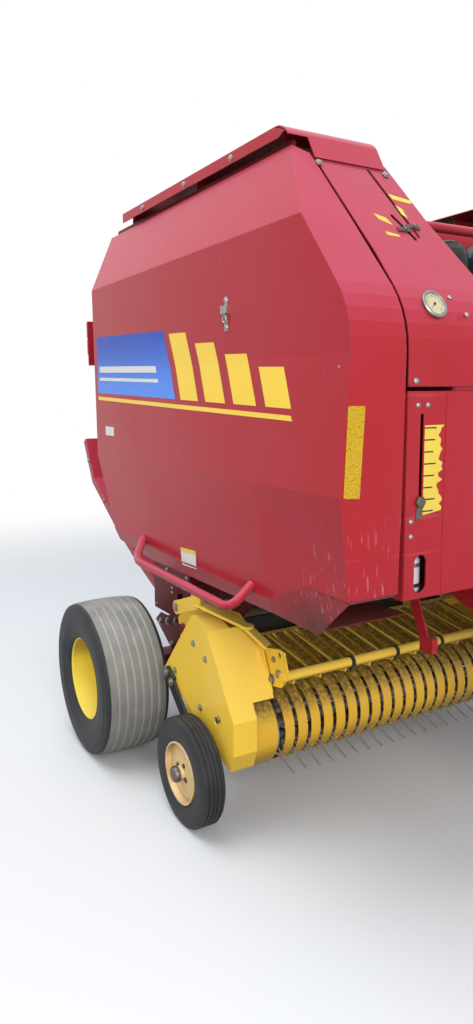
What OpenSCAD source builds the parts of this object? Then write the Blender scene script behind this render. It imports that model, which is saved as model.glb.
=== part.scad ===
// Round baler, a towed hay machine, in millimetres.
// X runs across the machine (the right-hand side is at -X), the front points to -Y, Z is up.
// Every sub-part is drawn about the wheel axle (y = 0) and then set forward or back by axle_y,
// so that the origin lies on the ground under the middle of the whole machine.

/* [Overall] */
// Distance from the axle forward to the front of the hitch
hitch_reach = 2900; // [2800:10:3000]
// Distance from the axle back to the rear of the tailgate
rear_reach = 1200; // [1180:5:1240]

/* [Running gear] */
// Outer diameter of a main tyre
tyre_d = 770; // [750:5:790]
// Width of a main tyre
tyre_w = 330; // [320:1:340]
// Distance between the middles of the main tyres
track = 2122; // [2116:2:2160]
// Outer diameter of a gauge wheel
gauge_d = 460; // [450:2:466]

/* [Chamber] */
// Width of the bale chamber between the side plates
chamber_w = 1180; // [1176:1:1184]
// Thickness of the side plates
plate_t = 10; // [8:0.5:12]

/* [Shields] */
// Distance from the centre line to the outer face of a side shield
shield_x = 1000; // [996:1:1010]
// Thickness of the shield sheets
sheet_t = 5; // [4:0.5:6]
// Height of the top of the roof covers
roof_top_z = 2645; // [2638:1:2654]

/* [Pickup] */
// Radius of the stripper bands
band_r = 170; // [166:1:172]
// Number of stripper bands
band_n = 21; // [19:2:21]
// Distance from one band to the next, with one row of tines between them
band_pitch = 67; // [64:0.5:67]
// Radius from the reel's axis to the tips of the tines
tine_reach = 246; // [225:1:250]

/* [Hidden] */

$fn = 48;
red = "#a82631";
dark_red = "#6d1a20";
yellow = "#eec244";
pale_yellow = "#efc98e";
black = "#1e1f22";
rubber = "#35363a";
steel = "#a9abad";

// Places along the machine, measured from the axle
axle_y = (hitch_reach - rear_reach) / 2;
tyre_r = tyre_d / 2;
gauge_r = gauge_d / 2;
plate_in = chamber_w / 2;
plate_out = plate_in + plate_t;

// The front outline of the shields: a slope up to the roof covers, a knee and an upright face
front_y = -1820;
seam_y = -1405;
seam_drop = 121.75;
knee_top_z = 2004.5;
slope_rise = (roof_top_z - seam_drop - knee_top_z) / (seam_y - front_y);
knee_tangent = 110;
knee_steps = 5;
function slope_at(y) = knee_top_z + slope_rise * (y - front_y);
slope_len = norm([1, slope_rise]);
knee_turn = 90 - atan(slope_rise);
knee_r = knee_tangent / tan(knee_turn / 2);
knee_end_z = knee_top_z - knee_tangent;
// Points of the knee from the slope down to the upright face, as [y, z]
function knee(inset = 0) = [for (i = [0 : knee_steps])
    let (a = 180 - knee_turn * (1 - i / knee_steps))
    [front_y + knee_r + (knee_r - inset) * cos(a), knee_end_z + (knee_r - inset) * sin(a)]];

// Hinges and pins, as [y, z]
gate_hinge = [60, roof_top_z - 165];
gate_lug = [310, roof_top_z - 365];
gate_foot = [-300, 1450];
gate_x = 700;
gate_open = 60;
gate_pin_r = 12;
// Running clearance of a shaft or pin in its bore, on the radius
fit = 0.3;
// Half the width of the cylinders' eyes
eye_half = 23;
shield_hinge_x = 870;
shield_hinge_z = roof_top_z - 79;
pickup_pivot = [-430, 700];
band_y = -879;
band_z = 385;
reel_shaft_r = 24;
reel_y = -914;
reel_z = 373;
drum_x = 730;
pickup_plate_x = 844;
pickup_plate_t = 6;
end_x = 960;
guard_arm_x = 944;
guard_pivot = [-560, 850];
guard_tube = [-1085, 652];
gauge_x = 1040;
gauge_w = 108;
gauge_y = -846;
lid_hinge = [-1828, 1780];
lid_pin_r = 5;
jack_x = -150;
jack_y = -hitch_reach + 550;
net_x = 396;

// Slab across the machine from x0 to x1 with a [y, z] outline
module slab_x(x0, x1, outline) {
    translate([x0, 0, 0]) rotate([90, 0, 90]) linear_extrude(x1 - x0) polygon(outline);
}
// Round bar across the machine
module rod_x(p, r, x0, x1) {
    translate([x0, p[0], p[1]]) rotate([0, 90, 0]) cylinder(r = r, h = x1 - x0);
}
// Round bar between two points
module rod(a, b, r, sides = 24) {
    d = b - a;
    translate(a) rotate([0, acos(d[2] / norm(d)), atan2(d[1], d[0])])
        cylinder(r = r, h = norm(d), $fn = sides);
}
// Block given by its two corners
module block(a, b) {
    translate(a) cube(b - a);
}
// The right-hand half and its mirror image
module pair() {
    children();
    mirror([1, 0, 0]) children();
}
// Points at a distance to one side of a [y, z] path, with mitred bends
function beside(path, d) = [for (i = [0 : len(path) - 1])
    let (last = len(path) - 1, u = i == 0 ? path[1] - path[0] : path[i] - path[i - 1],
        v = i == last ? u : path[i + 1] - path[i],
        across = [-u[1], u[0]] / norm(u), m = across + [-v[1], v[0]] / norm(v), n = m / norm(m))
    path[i] + n * d / (n * across)];
function backward(list) = [for (i = [len(list) - 1 : -1 : 0]) list[i]];
// Strip of constant thickness along a [y, z] path
module strip_x(x0, x1, path, t) {
    slab_x(x0, x1, concat(beside(path, t / 2), backward(beside(path, -t / 2))));
}
// Flat bar between two points, its width level
module flat_bar(a, b, w, t) {
    d = b - a;
    translate(a) rotate([0, acos(d[2] / norm(d)), atan2(d[1], d[0])]) translate([-t / 2, -w / 2, 0])
        cube([t, w, norm(d)]);
}
// A path with its corners rounded off, starting a distance d before each
function rounded(path, d, steps) = concat([path[0]], [for (i = [1 : len(path) - 2]) for (k = [0 : steps])
    let (t = k / steps, c = path[i], a = c + (path[i - 1] - c) * d / norm(path[i - 1] - c),
        b = c + (path[i + 1] - c) * d / norm(path[i + 1] - c))
    a * (1 - t) * (1 - t) + c * 2 * t * (1 - t) + b * t * t], [path[len(path) - 1]]);
// Bent round bar along a path that is nowhere upright
module bent_rod(path, r, sides) {
    last = len(path) - 1;
    rings = [for (i = [0 : last]) let (d = path[min(i + 1, last)] - path[max(i - 1, 0)], u = cross(d, [0, 0, 1]),
        v = cross(u, d)) [for (k = [0 : sides - 1]) let (a = k * 360 / sides)
        path[i] + r * cos(a) * u / norm(u) + r * sin(a) * v / norm(v)]];
    faces = concat([[for (k = [sides - 1 : -1 : 0]) k]], [[for (k = [0 : sides - 1]) last * sides + k]],
        [for (i = [0 : last - 1]) for (k = [0 : sides - 1]) let (n = (k + 1) % sides, a = i * sides, b = a + sides)
            each [[a + k, b + n, b + k], [a + k, a + n, b + n]]]);
    polyhedron(points = [for (ring = rings) each ring], faces = faces, convexity = 4);
}
// Closed sheet between an outer and an inner grid of points, each a list of columns
module grid_sheet(outer, inner) {
    m = len(outer);
    n = len(outer[0]);
    pts = concat([for (c = outer) each c], [for (c = inner) each c]);
    off = m * n;
    function o(i, j) = i * n + j;
    function k(i, j) = off + i * n + j;
    faces = concat(
        [for (i = [0 : m - 2]) for (j = [0 : n - 2])
            each [[o(i, j), o(i + 1, j), o(i + 1, j + 1)], [o(i, j), o(i + 1, j + 1), o(i, j + 1)]]],
        [for (i = [0 : m - 2]) for (j = [0 : n - 2])
            each [[k(i, j), k(i + 1, j + 1), k(i + 1, j)], [k(i, j), k(i, j + 1), k(i + 1, j + 1)]]],
        [for (i = [0 : m - 2])
            each [[o(i + 1, 0), o(i, 0), k(i, 0)], [o(i + 1, 0), k(i, 0), k(i + 1, 0)]]],
        [for (i = [0 : m - 2])
            each [[o(i, n - 1), o(i + 1, n - 1), k(i + 1, n - 1)],
                [o(i, n - 1), k(i + 1, n - 1), k(i, n - 1)]]],
        [for (j = [0 : n - 2])
            each [[o(0, j), o(0, j + 1), k(0, j + 1)], [o(0, j), k(0, j + 1), k(0, j)]]],
        [for (j = [0 : n - 2])
            each [[o(m - 1, j + 1), o(m - 1, j), k(m - 1, j)],
                [o(m - 1, j + 1), k(m - 1, j), k(m - 1, j + 1)]]]);
    polyhedron(points = pts, faces = faces, convexity = 10);
}

// Frame: the two chamber side plates with their axle legs, pivots and cylinder feet
plate_outline = [[-60, 680], [70, 445], [-70, 445], [-250, 665], [-400, 640], [-470, 660],
    [-560, 760], [-900, 1000], [-1250, 1120], [front_y + sheet_t, 1160],
    [front_y + sheet_t, 1885], [-1740, slope_at(-1740) - 29.5], [-1400, slope_at(-1400) - 29.5],
    [-1360, roof_top_z - 105], [60, roof_top_z - 105], [48, roof_top_z - 205]];
module side_plates() {
    color(dark_red) pair() {
        difference() {
            union() {
                slab_x(-plate_out, -plate_in, plate_outline);
                rod_x(gate_hinge, 80, -plate_out, -plate_in);
            }
            rod_x([-330, 1180], 60, -plate_out - 1, -plate_in + 1);
        }
        rod_x(gate_hinge, 25, -plate_out - 32, -plate_out);
        rod_x(pickup_pivot, 25, -pickup_plate_x - 26, -plate_out);
        rod_x(gate_foot, gate_pin_r, -gate_x - 30, -plate_out);
        rod_x(gate_foot, 22, -gate_x + eye_half + fit, -plate_out);
    }
}

// Frame: tubes that hold the side plates apart, as [y, z, depth, height]
beam_rows = [[-1750, 1215, 80, 80], [-1180, 1180, 100, 120], [-1180, roof_top_z - 240, 60, 50],
    [-150, roof_top_z - 145, 60, 60], [-60, 600, 80, 80]];
module cross_members() {
    color(dark_red)
    for (b = beam_rows)
        block([-plate_in, b[0] - b[2] / 2, b[1] - b[3] / 2], [plate_in, b[0] + b[2] / 2, b[1] + b[3] / 2]);
}

// Axle: a square beam under the side plates with a round spindle at each end and a leg plate
axle_half = 60;
spindle_r = 28;
beam_end = track / 2 - 213;
module axle_beam() {
    color(dark_red) {
        block([-beam_end, -axle_half, tyre_r - axle_half], [beam_end, axle_half, 445]);
        pair() rod_x([0, tyre_r], spindle_r, -track / 2 - 10, -beam_end + 1);
        pair() slab_x(-704, -696, [[29, 444], [220, 558], [156, 610], [77, 612], [-39, 650], [-91, 597], [-56, 444]]);
    }
}

// Tongue: a box beam from the front cross member down to the hitch
tongue_back = [-1230, 1090];
tongue_front = [-hitch_reach + 170, 480];
tongue_half = 70;
module tongue() {
    color(red) {
        difference() {
            slab_x(-tongue_half, tongue_half, [tongue_back + [0, 85], tongue_front + [0, 60],
                tongue_front - [0, 60], tongue_back - [0, 85]]);
            slab_x(-tongue_half + 8, tongue_half - 8, [tongue_back + [1, 77], tongue_front + [20, 52],
                tongue_front + [20, -52], tongue_back + [1, -77]]);
        }
        pair() slab_x(-260, -252, [[-1230, 1130], [-1230, 1240], [-1280, 1130], [-1425, 775], [-1375, 775]]);
        pair() slab_x(-252, -tongue_half, [[-1230, 1130], [-1230, 1138], [-1270, 1124], [-1267, 1117]]);
        pair() block([-266, -1436, 766], [-236, -1368, 828]);
    }
}

// Hitch: a clevis of two plates with a drawbar pin hole
hitch_pin_r = 16;
hitch_y = -hitch_reach + 45;
module hitch_clevis() {
    color(steel)
    difference() {
        union() {
            block([-45, tongue_front[0] - 12, 430], [45, tongue_front[0], 530]);
            for (z = [440, 495]) {
                block([-45, hitch_y, z], [45, tongue_front[0] - 12, z + 25]);
                translate([0, hitch_y, z]) cylinder(r = 45, h = 25);
            }
        }
        translate([0, hitch_y, 400]) cylinder(r = hitch_pin_r, h = 200);
    }
}

// Parking jack: an outer tube on the tongue's side and an inner leg with a foot plate
jack_r = 38;
jack_leg_r = 30;
module jack_tube() {
    color(red) {
        difference() {
            translate([jack_x, jack_y, 330]) cylinder(r = jack_r, h = 560);
            translate([jack_x, jack_y, 320]) cylinder(r = jack_leg_r + fit, h = 550);
        }
        difference() {
            block([jack_x, jack_y - 40, 560], [-tongue_half, jack_y + 40, 640]);
            translate([jack_x, jack_y, 500]) cylinder(r = jack_r - 2, h = 200);
        }
        translate([jack_x, jack_y, 889]) cylinder(r = 12, h = 50);
        rod([jack_x, jack_y, 925], [jack_x - 130, jack_y, 925], 9);
    }
}
module jack_leg() {
    color(steel) {
        translate([jack_x, jack_y, 8]) cylinder(r = jack_leg_r, h = 490);
        block([jack_x - 80, jack_y - 80, 0], [jack_x + 80, jack_y + 80, 10]);
    }
}

// Driveline: gearbox in front of the cross member and the guarded shaft that lies over the tongue
gearbox_front = -1420;
gearbox_z = 1250;
pto_back = [0, gearbox_front - 12, 1240];
pto_front = [0, tongue_front[0] + 90, 720];
pto_dir = (pto_front - pto_back) / norm(pto_front - pto_back);
pto_stand_y = pto_front[1] + 370;
function tongue_top(y) = let (a = tongue_back + [0, 85], b = tongue_front + [0, 60])
    a[1] + (b[1] - a[1]) * (y - a[0]) / (b[0] - a[0]);
function pto_z(y) = pto_back[2] + (y - pto_back[1]) * pto_dir[2] / pto_dir[1];
module gearbox() {
    color(red) {
        block([-110, gearbox_front, gearbox_z - 70], [110, tongue_back[0], gearbox_z + 80]);
        translate([0, gearbox_front + 1, gearbox_z]) rotate([90, 0, 0]) cylinder(r = 48, h = 13);
        rod_x([-1330, gearbox_z], 26, 109, plate_in);
    }
}
module pto_shaft() {
    color(black) {
        difference() {
            rod(pto_back, pto_back + pto_dir * 150, 62);
            block([-80, gearbox_front - 12, gearbox_z - 120], [80, gearbox_front + 60, gearbox_z + 120]);
        }
        rod(pto_back + pto_dir * 140, pto_front - pto_dir * 140, 40);
        rod(pto_front - pto_dir * 150, pto_front, 62);
        rod(pto_front - pto_dir * 5, pto_front + pto_dir * 60, 30);
        difference() {
            block([-12, pto_stand_y - 6, 500], [12, pto_stand_y + 6, pto_z(pto_stand_y)]);
            slab_x(-20, 20, [[pto_stand_y - 20, tongue_top(pto_stand_y - 20)], [pto_stand_y + 20,
                tongue_top(pto_stand_y + 20)], [pto_stand_y + 20, 400], [pto_stand_y - 20, 400]]);
        }
    }
}

// Hinge rails: the dark inner walls beside the roof that carry the side shields' hinge pins
rail_back_y = 215;
rail_front_y = -1330;
hinge_rows = [-1250, -560, 120];
knuckle = 60;
module hinge_rails() {
    color(dark_red) pair() {
        block([-855, rail_front_y, roof_top_z - 175], [-845, rail_back_y, roof_top_z - 43]);
        for (y = [rail_front_y, -700, -40]) block([-845, y, roof_top_z - 165], [-plate_out, y + 8, roof_top_z - 107]);
        for (y = hinge_rows) {
            rod([-shield_hinge_x, y - knuckle, shield_hinge_z], [-shield_hinge_x, y + knuckle, shield_hinge_z], 5);
            block([-shield_hinge_x - 4, y + knuckle - 6, shield_hinge_z - 5], [-855, y + knuckle, shield_hinge_z + 5]);
            block([-shield_hinge_x - 4, y - knuckle, shield_hinge_z - 5], [-855, y - knuckle + 6, shield_hinge_z + 5]);
        }
    }
}

// Front shields: sheets down the slope and round the knee, with the two pointer slots at the right
shield_seam_z = 1795;
shield_top = [-1385, slope_at(-1385)];
front_sheet = concat([shield_top], knee(), [[front_y, shield_seam_z], [front_y + sheet_t, shield_seam_z]],
    [for (i = [knee_steps : -1 : 0]) knee(sheet_t)[i]], [shield_top + [sheet_t, -2]]);
module front_sheet_blank() {
    intersection() {
        slab_x(-830, -390, front_sheet);
        rotate([90, 0, 0]) translate([0, 0, 1300]) linear_extrude(600)
            polygon([[-822, roof_top_z - 45], [-786, 2200], [-786, shield_seam_z], [-398, shield_seam_z], [-405, 2150],
                [-468, 2335], [-520, roof_top_z - 45]]);
    }
}
// Slot through the front sheet between two [x, z] ends
module front_slot(a, b, w) {
    n = [a[1] - b[1], b[0] - a[0]] / norm(b - a) * w / 2;
    rotate([90, 0, 0]) translate([0, 0, 1300]) linear_extrude(700) {
        polygon([a + n, b + n, b - n, a - n]);
        translate(a) circle(w / 2, $fn = 24);
        translate(b) circle(w / 2, $fn = 24);
    }
}
// The gauge lies on one facet of the knee
gauge_mid = (knee()[1] + knee()[2]) / 2;
gauge_up = knee_turn * (1 - 1.5 / knee_steps);
module at_gauge() {
    translate([-662, gauge_mid[0], gauge_mid[1]]) rotate([90 - gauge_up, 0, 0]) children();
}
module front_shield_R() {
    color(red) difference() {
        front_sheet_blank();
        front_slot([-603, slope_at(-1411)], [-555, slope_at(-1603)], 14);
        front_slot([-619, slope_at(-1550)], [-576, slope_at(-1612)], 14);
        at_gauge() cylinder(r = 40, h = 60, center = true);
    }
}
module front_shield_L() {
    color(red) mirror([1, 0, 0]) front_sheet_blank();
}
module pressure_gauge() {
    color(steel) at_gauge() {
        translate([0, 0, -30]) cylinder(r = 38, h = 31);
        cylinder(r = 46, h = 12);
    }
}

// Lower front boxes: folded sheets, the right one with the bale-size slot and a peep hole
box_x = 788;
box_low_z = 1150;
box_top_z = 1783;
module front_box_blank() {
    block([-box_x, front_y, box_low_z], [-net_x - 4, front_y + sheet_t, box_top_z]);
    block([-box_x, front_y + sheet_t - 1, box_low_z], [-box_x + sheet_t, front_y + 150, box_top_z]);
    block([-box_x, front_y + sheet_t - 1, box_low_z], [-plate_out - 5, front_y + 150, box_low_z + sheet_t]);
}
module front_boxes() {
    color(red) {
        difference() {
            front_box_blank();
            front_slot([-727, 1710], [-727, 1403], 14);
            front_slot([-719, 1262], [-719, 1193], 50);
        }
        mirror([1, 0, 0]) front_box_blank();
    }
}

// Net wrap: an open-fronted box between the front boxes, its roll and its lid
module net_box() {
    color(dark_red) difference() {
        block([-net_x, -1816, 1290], [net_x, -1540, 1785]);
        block([-net_x + 5, -1817, 1295], [net_x - 5, -1545, 1780]);
    }
    color(dark_red) pair() {
        for (z = [1330, 1740]) block([-plate_in, -1700, z], [-net_x + 1, -1640, z + 12]);
        rod_x(lid_hinge, lid_pin_r, -244, -156);
        for (x = [-244, -164]) block([x, lid_hinge[0] - 6, 1774], [x + 8, -1815, 1785]);
    }
}
module net_roll() {
    color("white") {
        rod_x([-1680, 1470], 110, -net_x + 40, net_x - 40);
        rod_x([-1680, 1470], 30, -net_x + 5, net_x - 5);
    }
}
module front_lid() {
    color(red) {
        block([-net_x + 4, -1826, 1170], [net_x - 4, -1821, 1752]);
        block([-net_x + 4, -1826, 1170], [net_x - 4, -1800, 1175]);
        pair() block([-230, -1826, 1751], [-170, -1821, 1773]);
        pair() difference() {
            rod_x(lid_hinge, 9, -230, -170);
            rod_x(lid_hinge, lid_pin_r + fit, -231, -169);
        }
        rod_x([-1842, 1230], 8, -80, 80);
        pair() block([-80, -1842, 1222], [-68, -1825, 1238]);
    }
}

// Chamber cover: the sheet that closes the chamber's front and top between the side plates
// Its line as [z, y]
cover_line = [[1700, -1457], [2250, -1300], [roof_top_z - 245, -1275]];
function cover_y(z) = lookup(z, cover_line);
cover_t = 5;
module chamber_cover() {
    color(red) strip_x(-plate_in, plate_in, [for (p = cover_line) [p[1], p[0]]], cover_t);
}

// Roof covers: rounded sheets over the shield hinges with a hanging side flange
roof_bend_r = 90;
roof_back_y = 40;
function bend_points(y0, z0, r, a0, a1, steps) = [for (i = [0 : steps])
    let (a = a0 + (a1 - a0) * i / steps) [y0 + r * cos(a), z0 + r * sin(a)]];
roof_bend_y = -1290;
module roof_covers() {
    slope_angle = 90 + atan(slope_rise);
    outer = bend_points(roof_bend_y, roof_top_z - roof_bend_r, roof_bend_r, 90, slope_angle, 6);
    inner = bend_points(roof_bend_y, roof_top_z - roof_bend_r, roof_bend_r - 4, slope_angle, 90, 6);
    color(red) pair() {
        difference() {
            slab_x(-900, -528, concat([[roof_back_y, roof_top_z]], outer, [[seam_y - 2, slope_at(seam_y - 2) + 10],
                [seam_y + 2, slope_at(seam_y + 2) + 5]], inner, [[roof_back_y, roof_top_z - 4]]));
            block([-901, -1500, roof_top_z - 245], [-822, -1300, roof_top_z - 42]);
        }
        slab_x(-900, -896, [[roof_back_y, roof_top_z - 3], [roof_bend_y, roof_top_z - 3], [roof_bend_y - 55, roof_top_z - 26],
            [roof_bend_y - 20, roof_top_z - 40], [roof_back_y, roof_top_z - 40]]);
        for (y = [-1280, -650, 20]) block([-854, y, roof_top_z - 43], [-600, y + 6, roof_top_z - 4]);
    }
}

// Top tube between the roof covers, and the two accumulators below it
top_tube_at = [-1420, roof_top_z - 279];
module top_tube() {
    color(red) rod_x(top_tube_at, 17, -plate_in, plate_in);
}
accumulator_x = [-215, -45];
accumulator_y = -1400;
accumulator_z = roof_top_z - 485;
accumulator_r = 77;
shelf_t = 20;
module accumulators() {
    // Half profile of one accumulator, as [radius, height]
    profile = concat([[0, -4], [22, -4], [22, 24], [56, 30], [accumulator_r, 50]],
        [for (a = [0 : 15 : 75]) [accumulator_r * cos(a), 96 + accumulator_r * sin(a)]], [[4, 96 + accumulator_r], [0, 96 + accumulator_r]]);
    seat = cover_t / 2 * norm([1, 0.2855]);
    color(black) {
        for (x = accumulator_x) translate([x, accumulator_y, accumulator_z]) rotate_extrude() polygon(profile);
        slab_x(accumulator_x[0] - 90, accumulator_x[1] + 90, [[accumulator_y - 80, accumulator_z - shelf_t],
            [cover_y(accumulator_z - shelf_t) - seat, accumulator_z - shelf_t],
            [cover_y(accumulator_z) - seat, accumulator_z], [accumulator_y - 80, accumulator_z]]);
    }
}

// Rollers in the front half of the chamber, as [y, z, radius]
roller_rows = [[-640, 900, 100], [-300, 760, 100], [-1040, 1260, 45], [-1180, roof_top_z - 345, 60],
    [-120, roof_top_z - 275, 45], [-560, roof_top_z - 565, 45], [-880, 1080, 60]];
// The belts' way round them, as [row, side], with side -1 where the belt bends the other way
front_loop = [[2, 1], [6, 1], [5, -1], [4, 1], [3, 1]];
module chamber_rollers() {
    color(steel) for (r = roller_rows) {
        rod_x([r[0], r[1]], r[2], -plate_in + 6, plate_in - 6);
        rod_x([r[0], r[1]], 20, -plate_in, plate_in);
    }
}

// Belts: six flat loops side by side, each round its rollers
belt_n = 6;
belt_w = 165;
belt_gap = 24;
belt_t = 6;
belt_step = 15;
// Direction of the straight run between two rollers given as [y, z, signed radius]
function run_angle(a, b) = let (d = [b[0] - a[0], b[1] - a[1]])
    atan2(d[1], d[0]) - asin((b[2] - a[2]) / norm(d));
function wrap_turn(from, to, side) = let (t = (to - from) % 360, u = t < 0 ? t + 360 : t) side > 0 ? u : u - 360;
// Points of a loop round its rollers, where grow moves the loop outward
function loop_points(rolls, grow) = let (n = len(rolls),
    c = [for (r = rolls) [r[0], r[1], r[2] + grow]]) [for (i = [0 : n - 1])
    let (from = run_angle(c[(i + n - 1) % n], c[i]), to = run_angle(c[i], c[(i + 1) % n]),
        turn = wrap_turn(from, to, c[i][2]), steps = max(1, ceil(abs(turn) / belt_step)),
        r = c[i][2] / cos(turn / steps / 2))
    for (k = [0 : steps - 1]) let (a = from + turn * (k + 0.5) / steps)
        [c[i][0] + r * sin(a), c[i][1] - r * cos(a)]];
module belt_row(rolls) {
    for (i = [0 : belt_n - 1]) {
        x = (i - (belt_n - 1) / 2) * (belt_w + belt_gap);
        translate([x - belt_w / 2, 0, 0]) rotate([90, 0, 90]) linear_extrude(belt_w) difference() {
            polygon(loop_points(rolls, fit + belt_t));
            polygon(loop_points(rolls, fit));
        }
    }
}
module front_belts() {
    color(black) belt_row([for (k = front_loop) [roller_rows[k[0]][0], roller_rows[k[0]][1],
        k[1] > 0 ? roller_rows[k[0]][2] : -roller_rows[k[0]][2] - belt_t - 2 * fit]]);
}

// Inner panels: the skirt behind each wheel and the dark shelf under each front corner
skirt_x = 765;
module inner_panels() {
    color(dark_red) pair() {
        difference() {
            slab_x(-skirt_x, -skirt_x + 5, [[-330, 690], [-250, 670], [90, 670], [90, 900], [40, 930], [-330, 930]]);
            slab_x(-skirt_x - 1, -skirt_x + 6, [[-249, 760], [-235, 738], [-203, 738], [-189, 760], [-189, 820],
                [-203, 842], [-235, 842], [-249, 820]]);
        }
        for (y = [-316, -78]) block([-skirt_x + 4, y, 890], [-plate_out, y + 8, 915]);
        strip_x(-940, -plate_out, [[-1640, 1036], [-1410, 1030], [-1385, 1168]], 5);
    }
}

// Chain drive at the left: sprockets on the shafts' ends and the chains round them
// Rows are [y, z, radius, number of teeth], anticlockwise seen from the left
chain_loops = [
    [[-1330, gearbox_z, 55, 20], [-640, 900, 80, 28], [-1040, 1260, 80, 28]],
    [[-640, 900, 55, 20], [pickup_pivot[0], pickup_pivot[1], 70, 24]]];
chain_x = [plate_out + 16, plate_out + 38];
chain_w = 12;
// Hubs that carry the sprockets, as [y, z, end in x]
chain_hubs = [[-1330, gearbox_z, chain_x[0] + 16], [-1040, 1260, chain_x[0] + 16], [-640, 900, chain_x[1] + 16],
    [pickup_pivot[0], pickup_pivot[1], chain_x[1] + 16]];
module sprocket_2d(r, n) {
    difference() {
        circle(r + 5, $fn = n * 2);
        for (k = [0 : n - 1]) rotate(k * 360 / n) translate([r + 5, 0]) circle(4.5, $fn = 8);
    }
}
module chain_drive() {
    color(steel) difference() {
        union() {
            for (i = [0 : 1]) translate([chain_x[i], 0, 0]) rotate([90, 0, 90]) linear_extrude(chain_w) {
                for (w = chain_loops[i]) translate([w[0], w[1]]) sprocket_2d(w[2], w[3]);
                difference() {
                    polygon(loop_points(chain_loops[i], 12));
                    polygon(loop_points(chain_loops[i], 2));
                }
            }
            for (h = chain_hubs) rod_x([h[0], h[1]], 34, plate_out, h[2]);
        }
        rod_x(pickup_pivot, 25 + fit, plate_out - 1, chain_x[1] + 20);
    }
}

// Side shields: faceted gull-wing doors, hinged along their top edge and wrapped round the front
// Columns run from the rear edge forward and then inward; rows run from the top edge down
shield_knee = knee();
slope_y = -1578;
shield_front_rows = concat([[-1360, roof_top_z - 73], [slope_y, slope_at(slope_y)]], shield_knee,
    [[front_y, 1485], [front_y, 1178]]);
row_x = concat([-883, -shield_x], [for (p = shield_knee) -shield_x], [-shield_x - 33, -shield_x + 4]);
row_n = len(shield_front_rows);
function upright(y, x_k, x_l) = [for (i = [0 : row_n - 1])
    let (z = i == row_n - 1 ? 1100 : shield_front_rows[i][1])
    [i == row_n - 2 ? x_k : i == row_n - 1 ? x_l : row_x[i], y, z]];
function rear_column() = let (c = upright(235, -shield_x, -shield_x))
    concat([for (i = [0 : row_n - 2]) c[i]], [[-shield_x, 25, 1127], [-shield_x + 10, -15, 1075]]);
function side_column(y, low, bottom) = let (c = upright(y, -shield_x - 33 * (235 - y) / 2055, -shield_x))
    concat([for (i = [0 : row_n - 2]) c[i]], [low, bottom]);
function front_column() = concat([for (i = [0 : row_n - 1])
    [row_x[i], shield_front_rows[i][0], shield_front_rows[i][1]]], [[-shield_x + 15, front_y + 12, 1166]]);
wrap_x = concat([-828, -808], [for (p = shield_knee) -796], [-800, -808]);
function wrap_column() = concat([for (i = [0 : row_n - 1])
    [wrap_x[i], i == 0 ? shield_top[0] : shield_front_rows[i][0], i == 0 ? shield_top[1] : shield_front_rows[i][1]]],
    [[-812, front_y + 12, 1166]]);
shield_outer = [rear_column(),
    side_column(-380, [-shield_x, -380, 1100], [-shield_x + 15, -380, 1040]),
    side_column(-1340, [-shield_x, -1400, 1090], [-shield_x + 15, -1400, 1040]),
    side_column(-1350, [-shield_x, -1600, 1180], [-shield_x + 45, -1620, 1017]),
    front_column(), wrap_column()];
// Direction in which each column's sheet lies behind its outer face
inward = [[1, 0, 0], [1, 0, 0], [1, 0, 0], [1, 0, 0], [1, 1.2, 0], [0, 1.2, 0]];
shield_inner = [for (i = [0 : len(shield_outer) - 1]) [for (p = shield_outer[i]) p + inward[i] * sheet_t]];
handle_r = 17;
handle_path = rounded([[-shield_x + 2, -332, 1134], [-shield_x - 98, -470, 1066], [-shield_x - 98, -1304, 1048],
    [-shield_x + 2, -1287, 1120]], 60, 4);
module side_shield_R() {
    color(red) {
        grid_sheet(shield_outer, shield_inner);
        bent_rod(handle_path, handle_r, 14);
        for (y = hinge_rows) difference() {
            union() {
                rod([-shield_hinge_x, y - 40, shield_hinge_z], [-shield_hinge_x, y + 40, shield_hinge_z], 9);
                block([-882, y - 40, shield_hinge_z - 14], [-shield_hinge_x - 3, y + 40, shield_hinge_z - 2]);
            }
            rod([-shield_hinge_x, y - 60, shield_hinge_z], [-shield_hinge_x, y + 60, shield_hinge_z], 6);
        }
    }
}
module side_shield_L() {
    mirror([1, 0, 0]) side_shield_R();
}

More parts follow.
